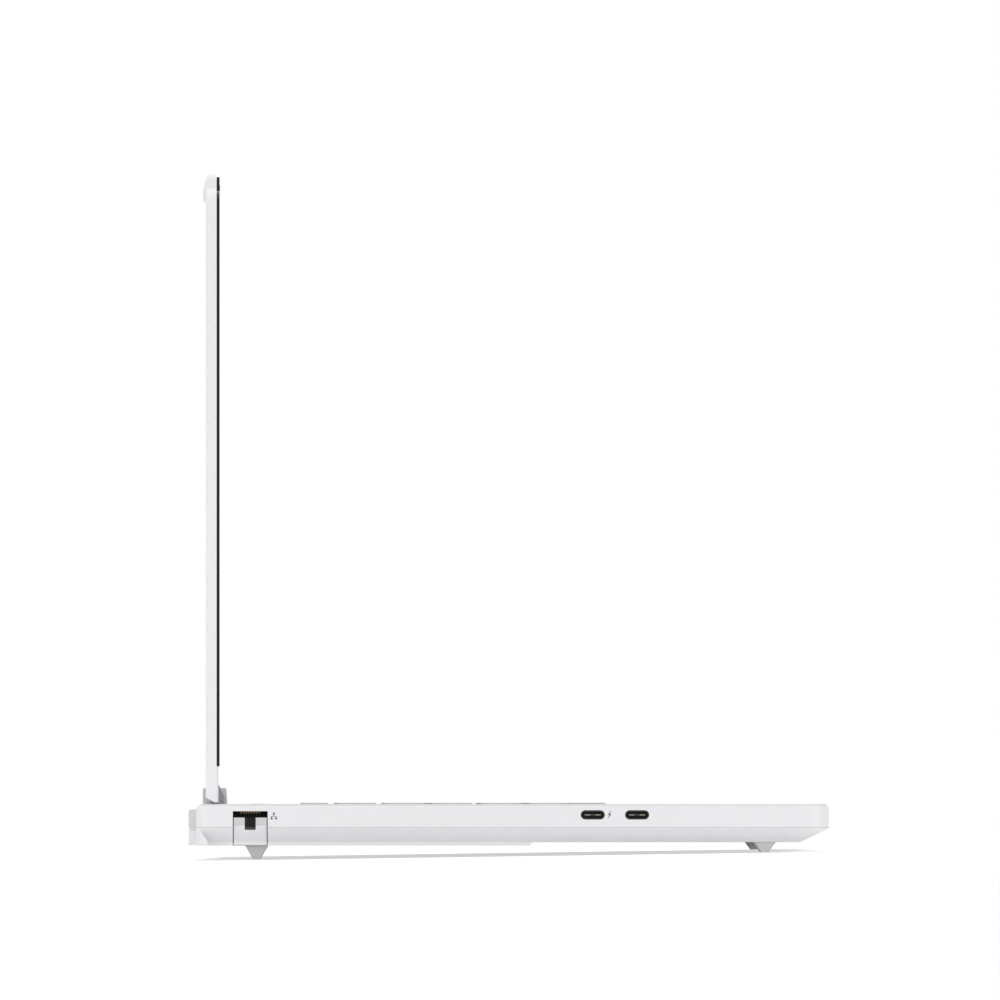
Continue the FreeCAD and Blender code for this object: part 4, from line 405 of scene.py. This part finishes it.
def rubber(place):
    """Foot rubber: matt grey with a soft mottle and a fine, closed grain."""
    mottle = place.noise(scale=220, detail=4)
    return {
        "Base_Color": mottle.mix((0.87, 0.87, 0.873, 1), (0.92, 0.92, 0.923, 1)),
        "Roughness": mottle.swing(0.675, spread=0.15),
        "bump": bump(place.noise(scale=2500, detail=3), strength=0.2, distance=0.0002),
    }


finishes.update({
    "battery_wrap": finish("battery_film", moulded((0.03, 0.03, 0.034), rough=0.35, grain=500, depth=0.05)),
    "board": finish("board_lacquer", lacquered_board),
    "black_glass": finish("display_glass", black_pane, Specular_IOR_Level=0.25),
    "touch_glass": finish("touch_glass", touch_pane),
    "foot_rubber": finish("foot_rubber", rubber),
})
print("finishes:", len(finishes))

# %% [markdown]
# The record names a finish for every node, so one loop hands them all out. The nodes with a finish of their
# own take that one instead.

# %% Hand out the finishes
slot_of = {part["node"]: part["material_slot"] for part in frame["record"]["subparts"]}
for node, thing in frame["nodes"].items():
    thing.data.materials.clear()
    thing.data.materials.append(own_finish.get(node, finishes[slot_of[node]]))
print("nodes with a finish:", len(slot_of))

# %% [markdown]
# ## Key legends
# Real key caps carry laser-printed letters. Text objects give clean letter shapes; each is made a mesh, laid
# on the top of its cap and joined with the others of its row, so that a row's print moves with its keys.

# %% Where the keys are
KEY_PITCH, ROW_PITCH, PAD_PITCH, PAD_GAP = 18.0, 18.75, 15.5, 2.0
MAIN_KEYS, PAD_KEYS, LETTER_ROWS = 15, 4, 5
KEYS_LEFT = -(MAIN_KEYS * KEY_PITCH + PAD_GAP + PAD_KEYS * PAD_PITCH) / 2
PAD_LEFT = KEYS_LEFT + MAIN_KEYS * KEY_PITCH + PAD_GAP
CONTROL_ROW, FUNCTION_STEP, ARROW_STEP = 109.5, 16.0, 16.5
KEY_PROUD, PRINT_LIFT = 0.45, 0.012
KEY_TOP = DECK + KEY_PROUD
RIGHT_ALT_START, ENTER_START = 10.0, 12.75
rows = [CONTROL_ROW + ROW_PITCH * step for step in range(LETTER_ROWS)]
function_row, arrow_row = rows[-1] + FUNCTION_STEP, CONTROL_ROW - ARROW_STEP


def main_run(words, widths, y, start=0.0):
    """Words with the middles of neighbouring keys: half a key further than the widths before it."""
    ends = start + np.cumsum(widths)
    middles = KEYS_LEFT + (ends - np.asarray(widths) / 2) * KEY_PITCH
    return [(word, middle, y) for word, middle in zip(words, middles)]


def pad_run(words, y):
    """Words with the middles of number-pad keys."""
    return [(word, PAD_LEFT + (index + 0.5) * PAD_PITCH, y) for index, word in enumerate(words)]


functions = ["esc"] + [f"F{n}" for n in range(1, 13)] + ["prt", "del"]
shift_words = ["shift"] + list("ZXCVBNM,./") + ["shift"]
legends = {
    "function_keys": main_run(functions, [1] * MAIN_KEYS, function_row)
    + pad_run(["home", "end", "pgup", "pgdn"], function_row),
    "number_keys": main_run(list("`1234567890-=") + ["back"], [1] * 13 + [2], rows[4])
    + pad_run(["num", "/", "*", "-"], rows[4]),
    "tab_row_keys": main_run(["tab"] + list("QWERTYUIOP[]\\"), [1.5] + [1] * 12 + [1.5], rows[3])
    + pad_run("789", rows[3]),
    "caps_row_keys": main_run(["caps"] + list("ASDFGHJKL;'"), [1.75] + [1] * 11, rows[2])
    + pad_run("456", rows[2]),
    "shift_row_keys": main_run(shift_words, [2.25] + [1] * 10 + [2.75], rows[1])
    + pad_run("123", rows[1]),
    "control_row_keys": main_run(["ctrl", "fn", "sys", "alt"], [1.25, 1, 1, 1.25], rows[0])
    + main_run(["alt", "ctrl"], [1, 1], rows[0], RIGHT_ALT_START)
    + [("0", PAD_LEFT + PAD_PITCH, rows[0]), (".", PAD_LEFT + 2.5 * PAD_PITCH, rows[0])],
    "enter_key": main_run(["enter"], [2.25], rows[2], ENTER_START),
    "number_pad_plus": [("+", PAD_LEFT + 3.5 * PAD_PITCH, (rows[2] + rows[3]) / 2)],
    "number_pad_enter": [("enter", PAD_LEFT + 3.5 * PAD_PITCH, (rows[0] + rows[1]) / 2)],
}
print("legends:", sum(len(words) for words in legends.values()))

# %% [markdown]
# A printed mark has no thickness worth modelling, so every mark is a flat mesh a hundredth of a millimetre
# above its surface. Letters come from Blender's own font; arrows and signs are plain polygons.

# %% Ink, words and pieces
def flat_ink(colour):
    """Ink: one colour thinned by a fine speckle of the surface below it."""
    def build(place):
        speckle = place.noise(scale=5000, detail=2)
        return {
            "Base_Color": speckle.mix(tone(colour, 0.85), tone(colour, 1.25)),
            "Roughness": speckle.swing(0.55, spread=0.1),
        }
    return build


legend_ink = finish("legend_ink", flat_ink((0.085, 0.088, 0.092)))
sign_ink = finish("sign_ink", flat_ink((0.10, 0.10, 0.105)))


def new_piece(name, points, faces, material, body, slot):
    """A mesh piece from deck points and faces, with its finish, riding on a body."""
    mesh = bpy.data.meshes.new(name)
    mesh.from_pydata(on_deck(points).tolist(), [], [tuple(face) for face in faces])
    mesh.materials.append(material)
    mesh.update()
    piece = bpy.data.objects.new(name, mesh)
    bpy.context.scene.collection.objects.link(piece)
    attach(piece, body)


def word_mesh(word, size):
    """The flat outline of a word, centred on the origin, as points and faces."""
    curve = bpy.data.curves.new("word", "FONT")
    curve.body, curve.size = word, size
    curve.align_x, curve.align_y = "CENTER", "CENTER"
    curve.resolution_u = 2
    thing = bpy.data.objects.new("word", curve)
    bpy.context.scene.collection.objects.link(thing)
    mesh = bpy.data.meshes.new_from_object(thing.evaluated_get(bpy.context.evaluated_depsgraph_get()))
    points = np.empty(len(mesh.vertices) * 3)
    mesh.vertices.foreach_get("co", points)
    faces = [list(polygon.vertices) for polygon in mesh.polygons]
    bpy.data.objects.remove(thing)
    bpy.data.curves.remove(curve)
    bpy.data.meshes.remove(mesh)
    return points.reshape(-1, 3), faces


def join_marks(marks):
    """One list of points and faces from several, each moved to its own spot."""
    points, faces, count = [], [], 0
    for spots, shapes, move in marks:
        points.append(spots + np.asarray(move))
        faces += [[corner + count for corner in shape] for shape in shapes]
        count += len(spots)
    return np.concatenate(points), faces


print("points in a letter:", len(word_mesh("A", 1.0)[0]))

# %% [markdown]
# The words of a row become one piece that rides on the row's node. Single letters are printed larger than
# words. The arrow keys have one triangle, turned four ways.

# %% Print the keys
LETTER_SIZE, WORD_SIZE = 4.6, 2.9
ARROW_HALF, ARROW_FOOT, ARROW_TIP = 1.5, 0.9, 1.5
for node, words in legends.items():
    marks = []
    for word, x, y in words:
        size = LETTER_SIZE if len(word) == 1 else WORD_SIZE
        marks.append((*word_mesh(word, size), (x, y, KEY_TOP + PRINT_LIFT)))
    points, faces = join_marks(marks)
    new_piece(f"{node}_print", points, faces, legend_ink, node, slot_of[node])

arrow = np.array([(-ARROW_HALF, -ARROW_FOOT, 0), (ARROW_HALF, -ARROW_FOOT, 0), (0, ARROW_TIP, 0)])
arrow_spots = {0: (13.5, rows[0]), 90: (12.5, arrow_row), 180: (13.5, arrow_row), 270: (14.5, arrow_row)}
marks = []
for angle, (column, y) in arrow_spots.items():
    c, s = math.cos(math.radians(angle)), math.sin(math.radians(angle))
    turned = arrow @ np.array([(c, s, 0), (-s, c, 0), (0, 0, 1)])
    marks.append((turned, [[0, 1, 2]], (KEYS_LEFT + column * KEY_PITCH, y, KEY_TOP + PRINT_LIFT)))
new_piece("arrow_keys_print", *join_marks(marks), legend_ink, "arrow_keys", "key_plastic")
print("printed rows:", len(legends) + 1)

# %% [markdown]
# ## Signs beside the sockets
# The network socket has a sign of three linked squares to its right, and the charging socket a small
# zigzag bolt. They are polygons on the side wall, in the wall's own two directions.

# %% Socket signs
SIDE_LIFT, IN_PLACE = 0.012, (0, 0, 0)


def side_sign(outline):
    """Points of a flat sign on the left wall, from distances along the wall and up."""
    along, up = np.asarray(outline, float).T
    return np.stack((np.full(len(along), -HALF_WIDTH - SIDE_LIFT), along, up), -1)


def bar(along, up, wide, high):
    """The four corners of an upright rectangle about a spot on the wall."""
    return [(along + i * wide / 2, up + j * high / 2) for i, j in ((1, -1), (-1, -1), (-1, 1), (1, 1))]


SIGN_Y, SIGN_Z, SQUARE, LINE, BRANCH = 216.6, 10.0, 0.75, 0.2, 0.85
boxes = [(0, 1.15, SQUARE, SQUARE), (0, 0.1, 2.3, LINE), (0, 0.5, LINE, 0.7)]
for side in (-1, 1):
    boxes += [(side * BRANCH, -0.75, SQUARE, SQUARE), (side * BRANCH, -0.2, LINE, 0.5)]
bars = [bar(SIGN_Y + along, SIGN_Z + up, wide, high) for along, up, wide, high in boxes]
marks = [(side_sign(corners), [[0, 1, 2, 3]], IN_PLACE) for corners in bars]
new_piece("network_sign", *join_marks(marks), sign_ink, "base", "white_shell")
bolt = [(86.5, 9.0), (85.7, 10.55), (86.35, 10.7), (85.2, 12.3), (85.05, 12.25), (85.6, 11.05), (84.95, 10.9)]
bolt_faces = [[0, 1, 2, 6], [2, 3, 4, 5], [2, 5, 6]]
new_piece("charge_sign", side_sign(bolt), bolt_faces, sign_ink, "base", "white_shell")
print("signs placed")

# %% [markdown]
# Inside each small socket a thin tongue carries rows of gold pads. Seen from outside, the front of the tongue
# shows two short bright dashes, so each dash is a low box with a rounded top: a half-ellipse carried along Y.

# %% Pads on the socket tongues
def low_ridge(start, end, width, height, steps=7):
    """A half-ellipse of a width and height, standing out along -X, carried from start to end along Y."""
    angle = np.linspace(0, math.pi, steps)
    profile = np.stack((-height * np.sin(angle), width / 2 * np.cos(angle)), -1)
    along = np.linspace(start[1], end[1], 2)
    points = np.zeros((2, steps, 3))
    points[..., 0] = start[0] + profile[None, :, 0]
    points[..., 1] = along[:, None]
    points[..., 2] = start[2] + profile[None, :, 1]
    faces = [[i, i + 1, steps + i + 1, steps + i] for i in range(steps - 1)]
    faces += [list(range(steps))[::-1], list(range(steps, 2 * steps)), [0, steps, 2 * steps - 1, steps - 1]]
    return points.reshape(-1, 3), faces


SOCKET_MIDDLES, TONGUE_FACE, TONGUE_HEIGHT = (74.9, 92.2), -177.3, 10.65
PAD_NEAR, PAD_FAR, PAD_WIDTH, PAD_HEIGHT = 1.0, 3.1, 0.3, 0.1
pad_gold = finish("pad_gold", drawn_metal((0.48, 0.41, 0.30), rough=0.35, stretch=(1, 0.2, 1)), Metallic=1.0)
marks = []
for middle in SOCKET_MIDDLES:
    for side in (-1, 1):
        ends = sorted((middle + side * PAD_NEAR, middle + side * PAD_FAR))
        start, end = ((TONGUE_FACE, along, TONGUE_HEIGHT) for along in ends)
        marks.append((*low_ridge(start, end, PAD_WIDTH, PAD_HEIGHT), IN_PLACE))
new_piece("tongue_pads", *join_marks(marks), pad_gold, "base", "contact_gold")
print("pads:", len(marks))

# %% [markdown]
# ## The camera's eye and the power sign
# Lenses, rings and round signs are all grids of an angle and a radius, so two helpers serve them: one for the
# points and one for the faces between them.

# %% Rings
def polar_grid(inner, outer, start, end, steps, rings=2):
    """Distances across and up on a grid of radius r by angle a: (r sin a, r cos a), with r as a third."""
    radii, angles = np.linspace(inner, outer, rings), np.linspace(start, end, steps)
    radius, angle = np.meshgrid(radii, angles, indexing="ij")
    return radius * np.sin(angle), radius * np.cos(angle), radius


def grid_faces(rings, steps, closed):
    """Quads between neighbouring points of the grid; the last column meets the first where it is closed."""
    column = np.arange(steps if closed else steps - 1)
    here = np.arange(rings - 1)[:, None] * steps + column
    there = np.arange(rings - 1)[:, None] * steps + (column + 1) % steps
    return np.stack((here, there, there + steps, here + steps), -1).reshape(-1, 4).tolist()


def last_angle(steps):
    """The last angle of a closed ring: one step short of a full turn."""
    return 2 * math.pi * (1 - 1 / steps)


print("faces of a closed ring of 36:", len(grid_faces(2, 36, True)))

# %% [markdown]
# The camera looks out of the tab at the top of the glass: a low dome of dark glass inside a thin ring, with a
# tiny lamp beside it that shows when it is on. A dome is the grid again, lifted by half an ellipse.

# %% Camera eye
def dome(x, z, radius, height, steps=28, rings=5):
    """A cap on the glass: at radius r it stands out by height * sqrt(1 - (r / radius)^2)."""
    across, up, r = polar_grid(radius * FLAT_MIDDLE, radius, 0, last_angle(steps), steps, rings)
    out = height * np.sqrt(np.maximum(0, 1 - (r / radius) ** 2))
    points = np.stack((x + across, GLASS_FRONT - out, z + up), -1).reshape(-1, 3)
    return points, grid_faces(rings, steps, True) + [list(range(steps))[::-1]]


def lens_glass(place):
    """Lens: almost black, a little blue, with a polish that barely wanders."""
    haze = place.noise(scale=300, detail=2)
    return {
        "Base_Color": haze.mix((0.004, 0.006, 0.012, 1), (0.008, 0.011, 0.02, 1)),
        "Roughness": haze.swing(0.06, spread=0.06),
    }


GLASS_FRONT, EYE_Z, FLAT_MIDDLE = HINGE_Y - 0.86, 257.5, 0.15
EYE_RADIUS, EYE_DEPTH, RING_RADIUS, RING_STEPS = 1.5, 0.25, 1.9, 36
LAMP_X, LAMP_RADIUS, LAMP_DEPTH = 5.5, 0.4, 0.05
dark_lens = finish("lens_glass", lens_glass, Coat_Weight=1.0)
new_piece("camera_eye", *dome(0, EYE_Z, EYE_RADIUS, EYE_DEPTH), dark_lens, "lid", "black_glass")
across, up, _ = polar_grid(EYE_RADIUS, RING_RADIUS, 0, last_angle(RING_STEPS), RING_STEPS)
ring = np.stack((across, np.full_like(across, GLASS_FRONT), EYE_Z + up), -1).reshape(-1, 3)
new_piece("camera_ring", ring, grid_faces(2, RING_STEPS, True), finishes["dark_steel"], "lid", "black_glass")
lamp = dome(LAMP_X, EYE_Z, LAMP_RADIUS, LAMP_DEPTH)
new_piece("camera_lamp", *lamp, finishes["dome_silicone"], "lid", "black_glass")
print("eye at", on_deck((0, GLASS_FRONT, EYE_Z)))

# %% [markdown]
# The power button carries the usual sign, a ring that is open at the top with a bar in the gap. It is print,
# so it lies flat on the button and rides on it.

# %% Power sign
BUTTON_Y, BUTTON_PROUD = 222.0, 0.1
POWER_INNER, POWER_OUTER, POWER_GAP, POWER_STEPS = 1.1, 1.4, 0.6, 32
STEM_HALF, STEM_LOW, STEM_HIGH = 0.15, 0.4, 1.6
button_top = DECK + BUTTON_PROUD + PRINT_LIFT
across, up, _ = polar_grid(POWER_INNER, POWER_OUTER, POWER_GAP, 2 * math.pi - POWER_GAP, POWER_STEPS)
ring = np.stack((across, BUTTON_Y + up, np.full_like(across, button_top)), -1).reshape(-1, 3)
corners = [(-1, STEM_LOW), (1, STEM_LOW), (1, STEM_HIGH), (-1, STEM_HIGH)]
stem = np.array([(side * STEM_HALF, BUTTON_Y + along, button_top) for side, along in corners])
marks = [(ring, grid_faces(2, POWER_STEPS, False), IN_PLACE), (stem, [[0, 1, 2, 3]], IN_PLACE)]
new_piece("power_sign", *join_marks(marks), legend_ink, "power_button", "button_metal")
print("power sign points:", len(ring) + len(stem))

# %% [markdown]
# ## Underneath and on the right
# Someone who turns the laptop over meets small screws with a star-shaped recess: a closed curve whose radius
# swells six times in a turn. On the right wall a headset sign marks the audio socket.

# %% Screw recesses and headset sign
UNDER_LIFT, BULGE_DEPTH = 0.02, 1.33
FRONT_SCREWS, REAR_SCREWS, OUTER_SCREWS, INNER_SCREWS = 14.4, 240.0, 156.0, 110.0
STAR_RADIUS, STAR_SWELL, STAR_LOBES, STAR_STEPS = 0.95, 0.22, 6, 48
spots = [(side * x, FRONT_SCREWS, 0.0) for side in (-1, 1) for x in (OUTER_SCREWS, INNER_SCREWS)]
spots += [(side * OUTER_SCREWS, REAR_SCREWS, -BULGE_DEPTH) for side in (-1, 0, 1)]
angle = np.linspace(0, 2 * math.pi, STAR_STEPS, endpoint=False)
radius = STAR_RADIUS + STAR_SWELL * np.cos(STAR_LOBES * angle)
star = np.stack((radius * np.sin(angle), radius * np.cos(angle), np.zeros(STAR_STEPS)), -1)
# Each recess is a flat black star just under the underside: painted shade where the hollow would be.
marks = [(star, [list(range(STAR_STEPS))], (x, y, z - UNDER_LIFT)) for x, y, z in spots]
new_piece("screw_recess_shade", *join_marks(marks), finishes["black_plastic"], "base", "dark_steel")

HEADSET_Y, HEADSET_Z = 52.2, 9.0
BAND_INNER, BAND_OUTER, BAND_STEPS = 1.0, 1.25, 16
CUP_DROP, CUP_WIDTH, CUP_HEIGHT = 0.5, 0.6, 1.0
right_wall = HALF_WIDTH + SIDE_LIFT
across, up, _ = polar_grid(BAND_INNER, BAND_OUTER, -math.pi / 2, math.pi / 2, BAND_STEPS)
band = np.stack((np.full_like(across, right_wall), HEADSET_Y + across, HEADSET_Z + up), -1)
marks = [(band.reshape(-1, 3), grid_faces(2, BAND_STEPS, False), IN_PLACE)]
for side in (-1, 1):
    cup = bar(HEADSET_Y + side, HEADSET_Z - CUP_DROP, CUP_WIDTH, CUP_HEIGHT)
    corners = np.array([(right_wall, along, high) for along, high in cup])
    marks.append((corners, [[3, 2, 1, 0]], IN_PLACE))
new_piece("headset_sign", *join_marks(marks), sign_ink, "base", "white_shell")
print("screws:", len(spots))

# %% [markdown]
# ## Floor
# The floor is a large pale sheet of paper that bows up by about a millimetre under the middle of the base,
# clear of the feet, so that a level view still meets its shadow. To the rays that look at the background the
# sheet is darker, with a glow added: lit paper comes out white, and the contact shadow keeps its depth.

# %% Floor
FLOOR_REACH, FLOOR_LEVEL, BOW = 30.0, -0.0003, 0.0012
BOW_ACROSS, BOW_FRONT, BOW_BACK, BOW_SLOPE = 0.047, -0.132, 0.128, 0.018
COLUMNS, ROWS = 25, 49
PAPER, PAPER_SEEN, GLOW = (0.96, 0.96, 0.96, 1), (0.62, 0.62, 0.62, 1), 0.57


def paper_sheet():
    """A grid of heights: the level, plus BOW times a smooth step, 3 s^2 - 2 s^3, in from each edge."""
    def step(inwards):
        share = np.clip(inwards / BOW_SLOPE, 0, 1)
        return share * share * (3 - 2 * share)

    across = np.concatenate(([-FLOOR_REACH], np.linspace(-BOW_ACROSS, BOW_ACROSS, COLUMNS), [FLOOR_REACH]))
    along = np.concatenate(([-FLOOR_REACH], np.linspace(BOW_FRONT, BOW_BACK, ROWS), [FLOOR_REACH]))
    x, y = np.meshgrid(across, along, indexing="ij")
    z = FLOOR_LEVEL + BOW * step(BOW_ACROSS - np.abs(x)) * step(y - BOW_FRONT) * step(BOW_BACK - y)
    here = np.arange(len(across) - 1)[:, None] * len(along) + np.arange(len(along) - 1)
    faces = np.stack((here, here + len(along), here + len(along) + 1, here + 1), -1)
    return np.stack((x, y, z), -1).reshape(-1, 3).tolist(), faces.reshape(-1, 4).tolist()


def background_rays(tree):
    """1 for rays that look at the background, straight or by way of metal or glass, and 0 for the rest."""
    rays = tree.nodes.new("ShaderNodeLightPath").outputs
    ways = ("Camera", "Glossy", "Transmission")
    straight, glossy, through = (Wire(tree, rays[f"Is {way} Ray"]) for way in ways)
    return straight.maths("MAXIMUM", glossy).maths("MAXIMUM", through)


mesh = bpy.data.meshes.new("floor")
points, faces = paper_sheet()
mesh.from_pydata(points, [], faces)
floor = bpy.data.objects.new("floor", mesh)
bpy.context.scene.collection.objects.link(floor)
paper = bpy.data.materials.new("floor_paper")
paper.use_nodes = True
tree = paper.node_tree
tree.nodes.clear()
seen = background_rays(tree)
matt = seen.node("ShaderNodeBsdfDiffuse", Color=seen.mix(PAPER, PAPER_SEEN))
glow = seen.node("ShaderNodeEmission", Color=(1, 1, 1, 1), Strength=seen * GLOW)
both = seen.node("ShaderNodeAddShader", _0=matt, _1=glow)
output = tree.nodes.new("ShaderNodeOutputMaterial")
tree.links.new(both.socket, output.inputs["Surface"])
mesh.materials.append(paper)
print("floor points:", len(points))

# %% [markdown]
# ## Light and air
# The world is an even soft white, dimmer as light than it looks. Two long low lamps on the left reach the
# side wall and the feet, and a wide one overhead gives the top its own level.

# %% Light and air
AIR = 0.7
SIDE_SIZE, SIDE_POWER, SIDE_TARGET = (0.8, 0.12), 4.6, (-0.1, 0, 0.02)
TOP_SIZE, TOP_POWER = (2.0, 2.0), 15
world = bpy.data.worlds.new("soft_air")
bpy.context.scene.world = world
world.use_nodes = True
tree = world.node_tree
back = tree.nodes["Background"]
back.inputs["Color"].default_value = (1, 1, 1, 1)
seen = background_rays(tree)
tree.links.new((seen * (1.0 - AIR) + AIR).socket, back.inputs["Strength"])


def soft_lamp(name, place, target, size, power):
    """An area lamp of a width and height at a place, turned to face a target."""
    data = bpy.data.lights.new(name, "AREA")
    data.shape = "RECTANGLE"
    data.size, data.size_y = size
    data.energy = power
    lamp = bpy.data.objects.new(name, data)
    lamp.location = place
    lamp.rotation_euler = (Vector(target) - Vector(place)).to_track_quat("-Z", "Y").to_euler()
    bpy.context.scene.collection.objects.link(lamp)


soft_lamp("left_front_panel", (-1.6, -1.3, 0.08), SIDE_TARGET, SIDE_SIZE, SIDE_POWER)
soft_lamp("left_rear_panel", (-1.6, 1.5, 0.08), SIDE_TARGET, SIDE_SIZE, SIDE_POWER)
soft_lamp("overhead_panel", (0.2, 0.2, 2.2), (0, 0, 0), TOP_SIZE, TOP_POWER)
bpy.context.scene.view_settings.view_transform = "Standard"
print("stage set")

# %% [markdown]
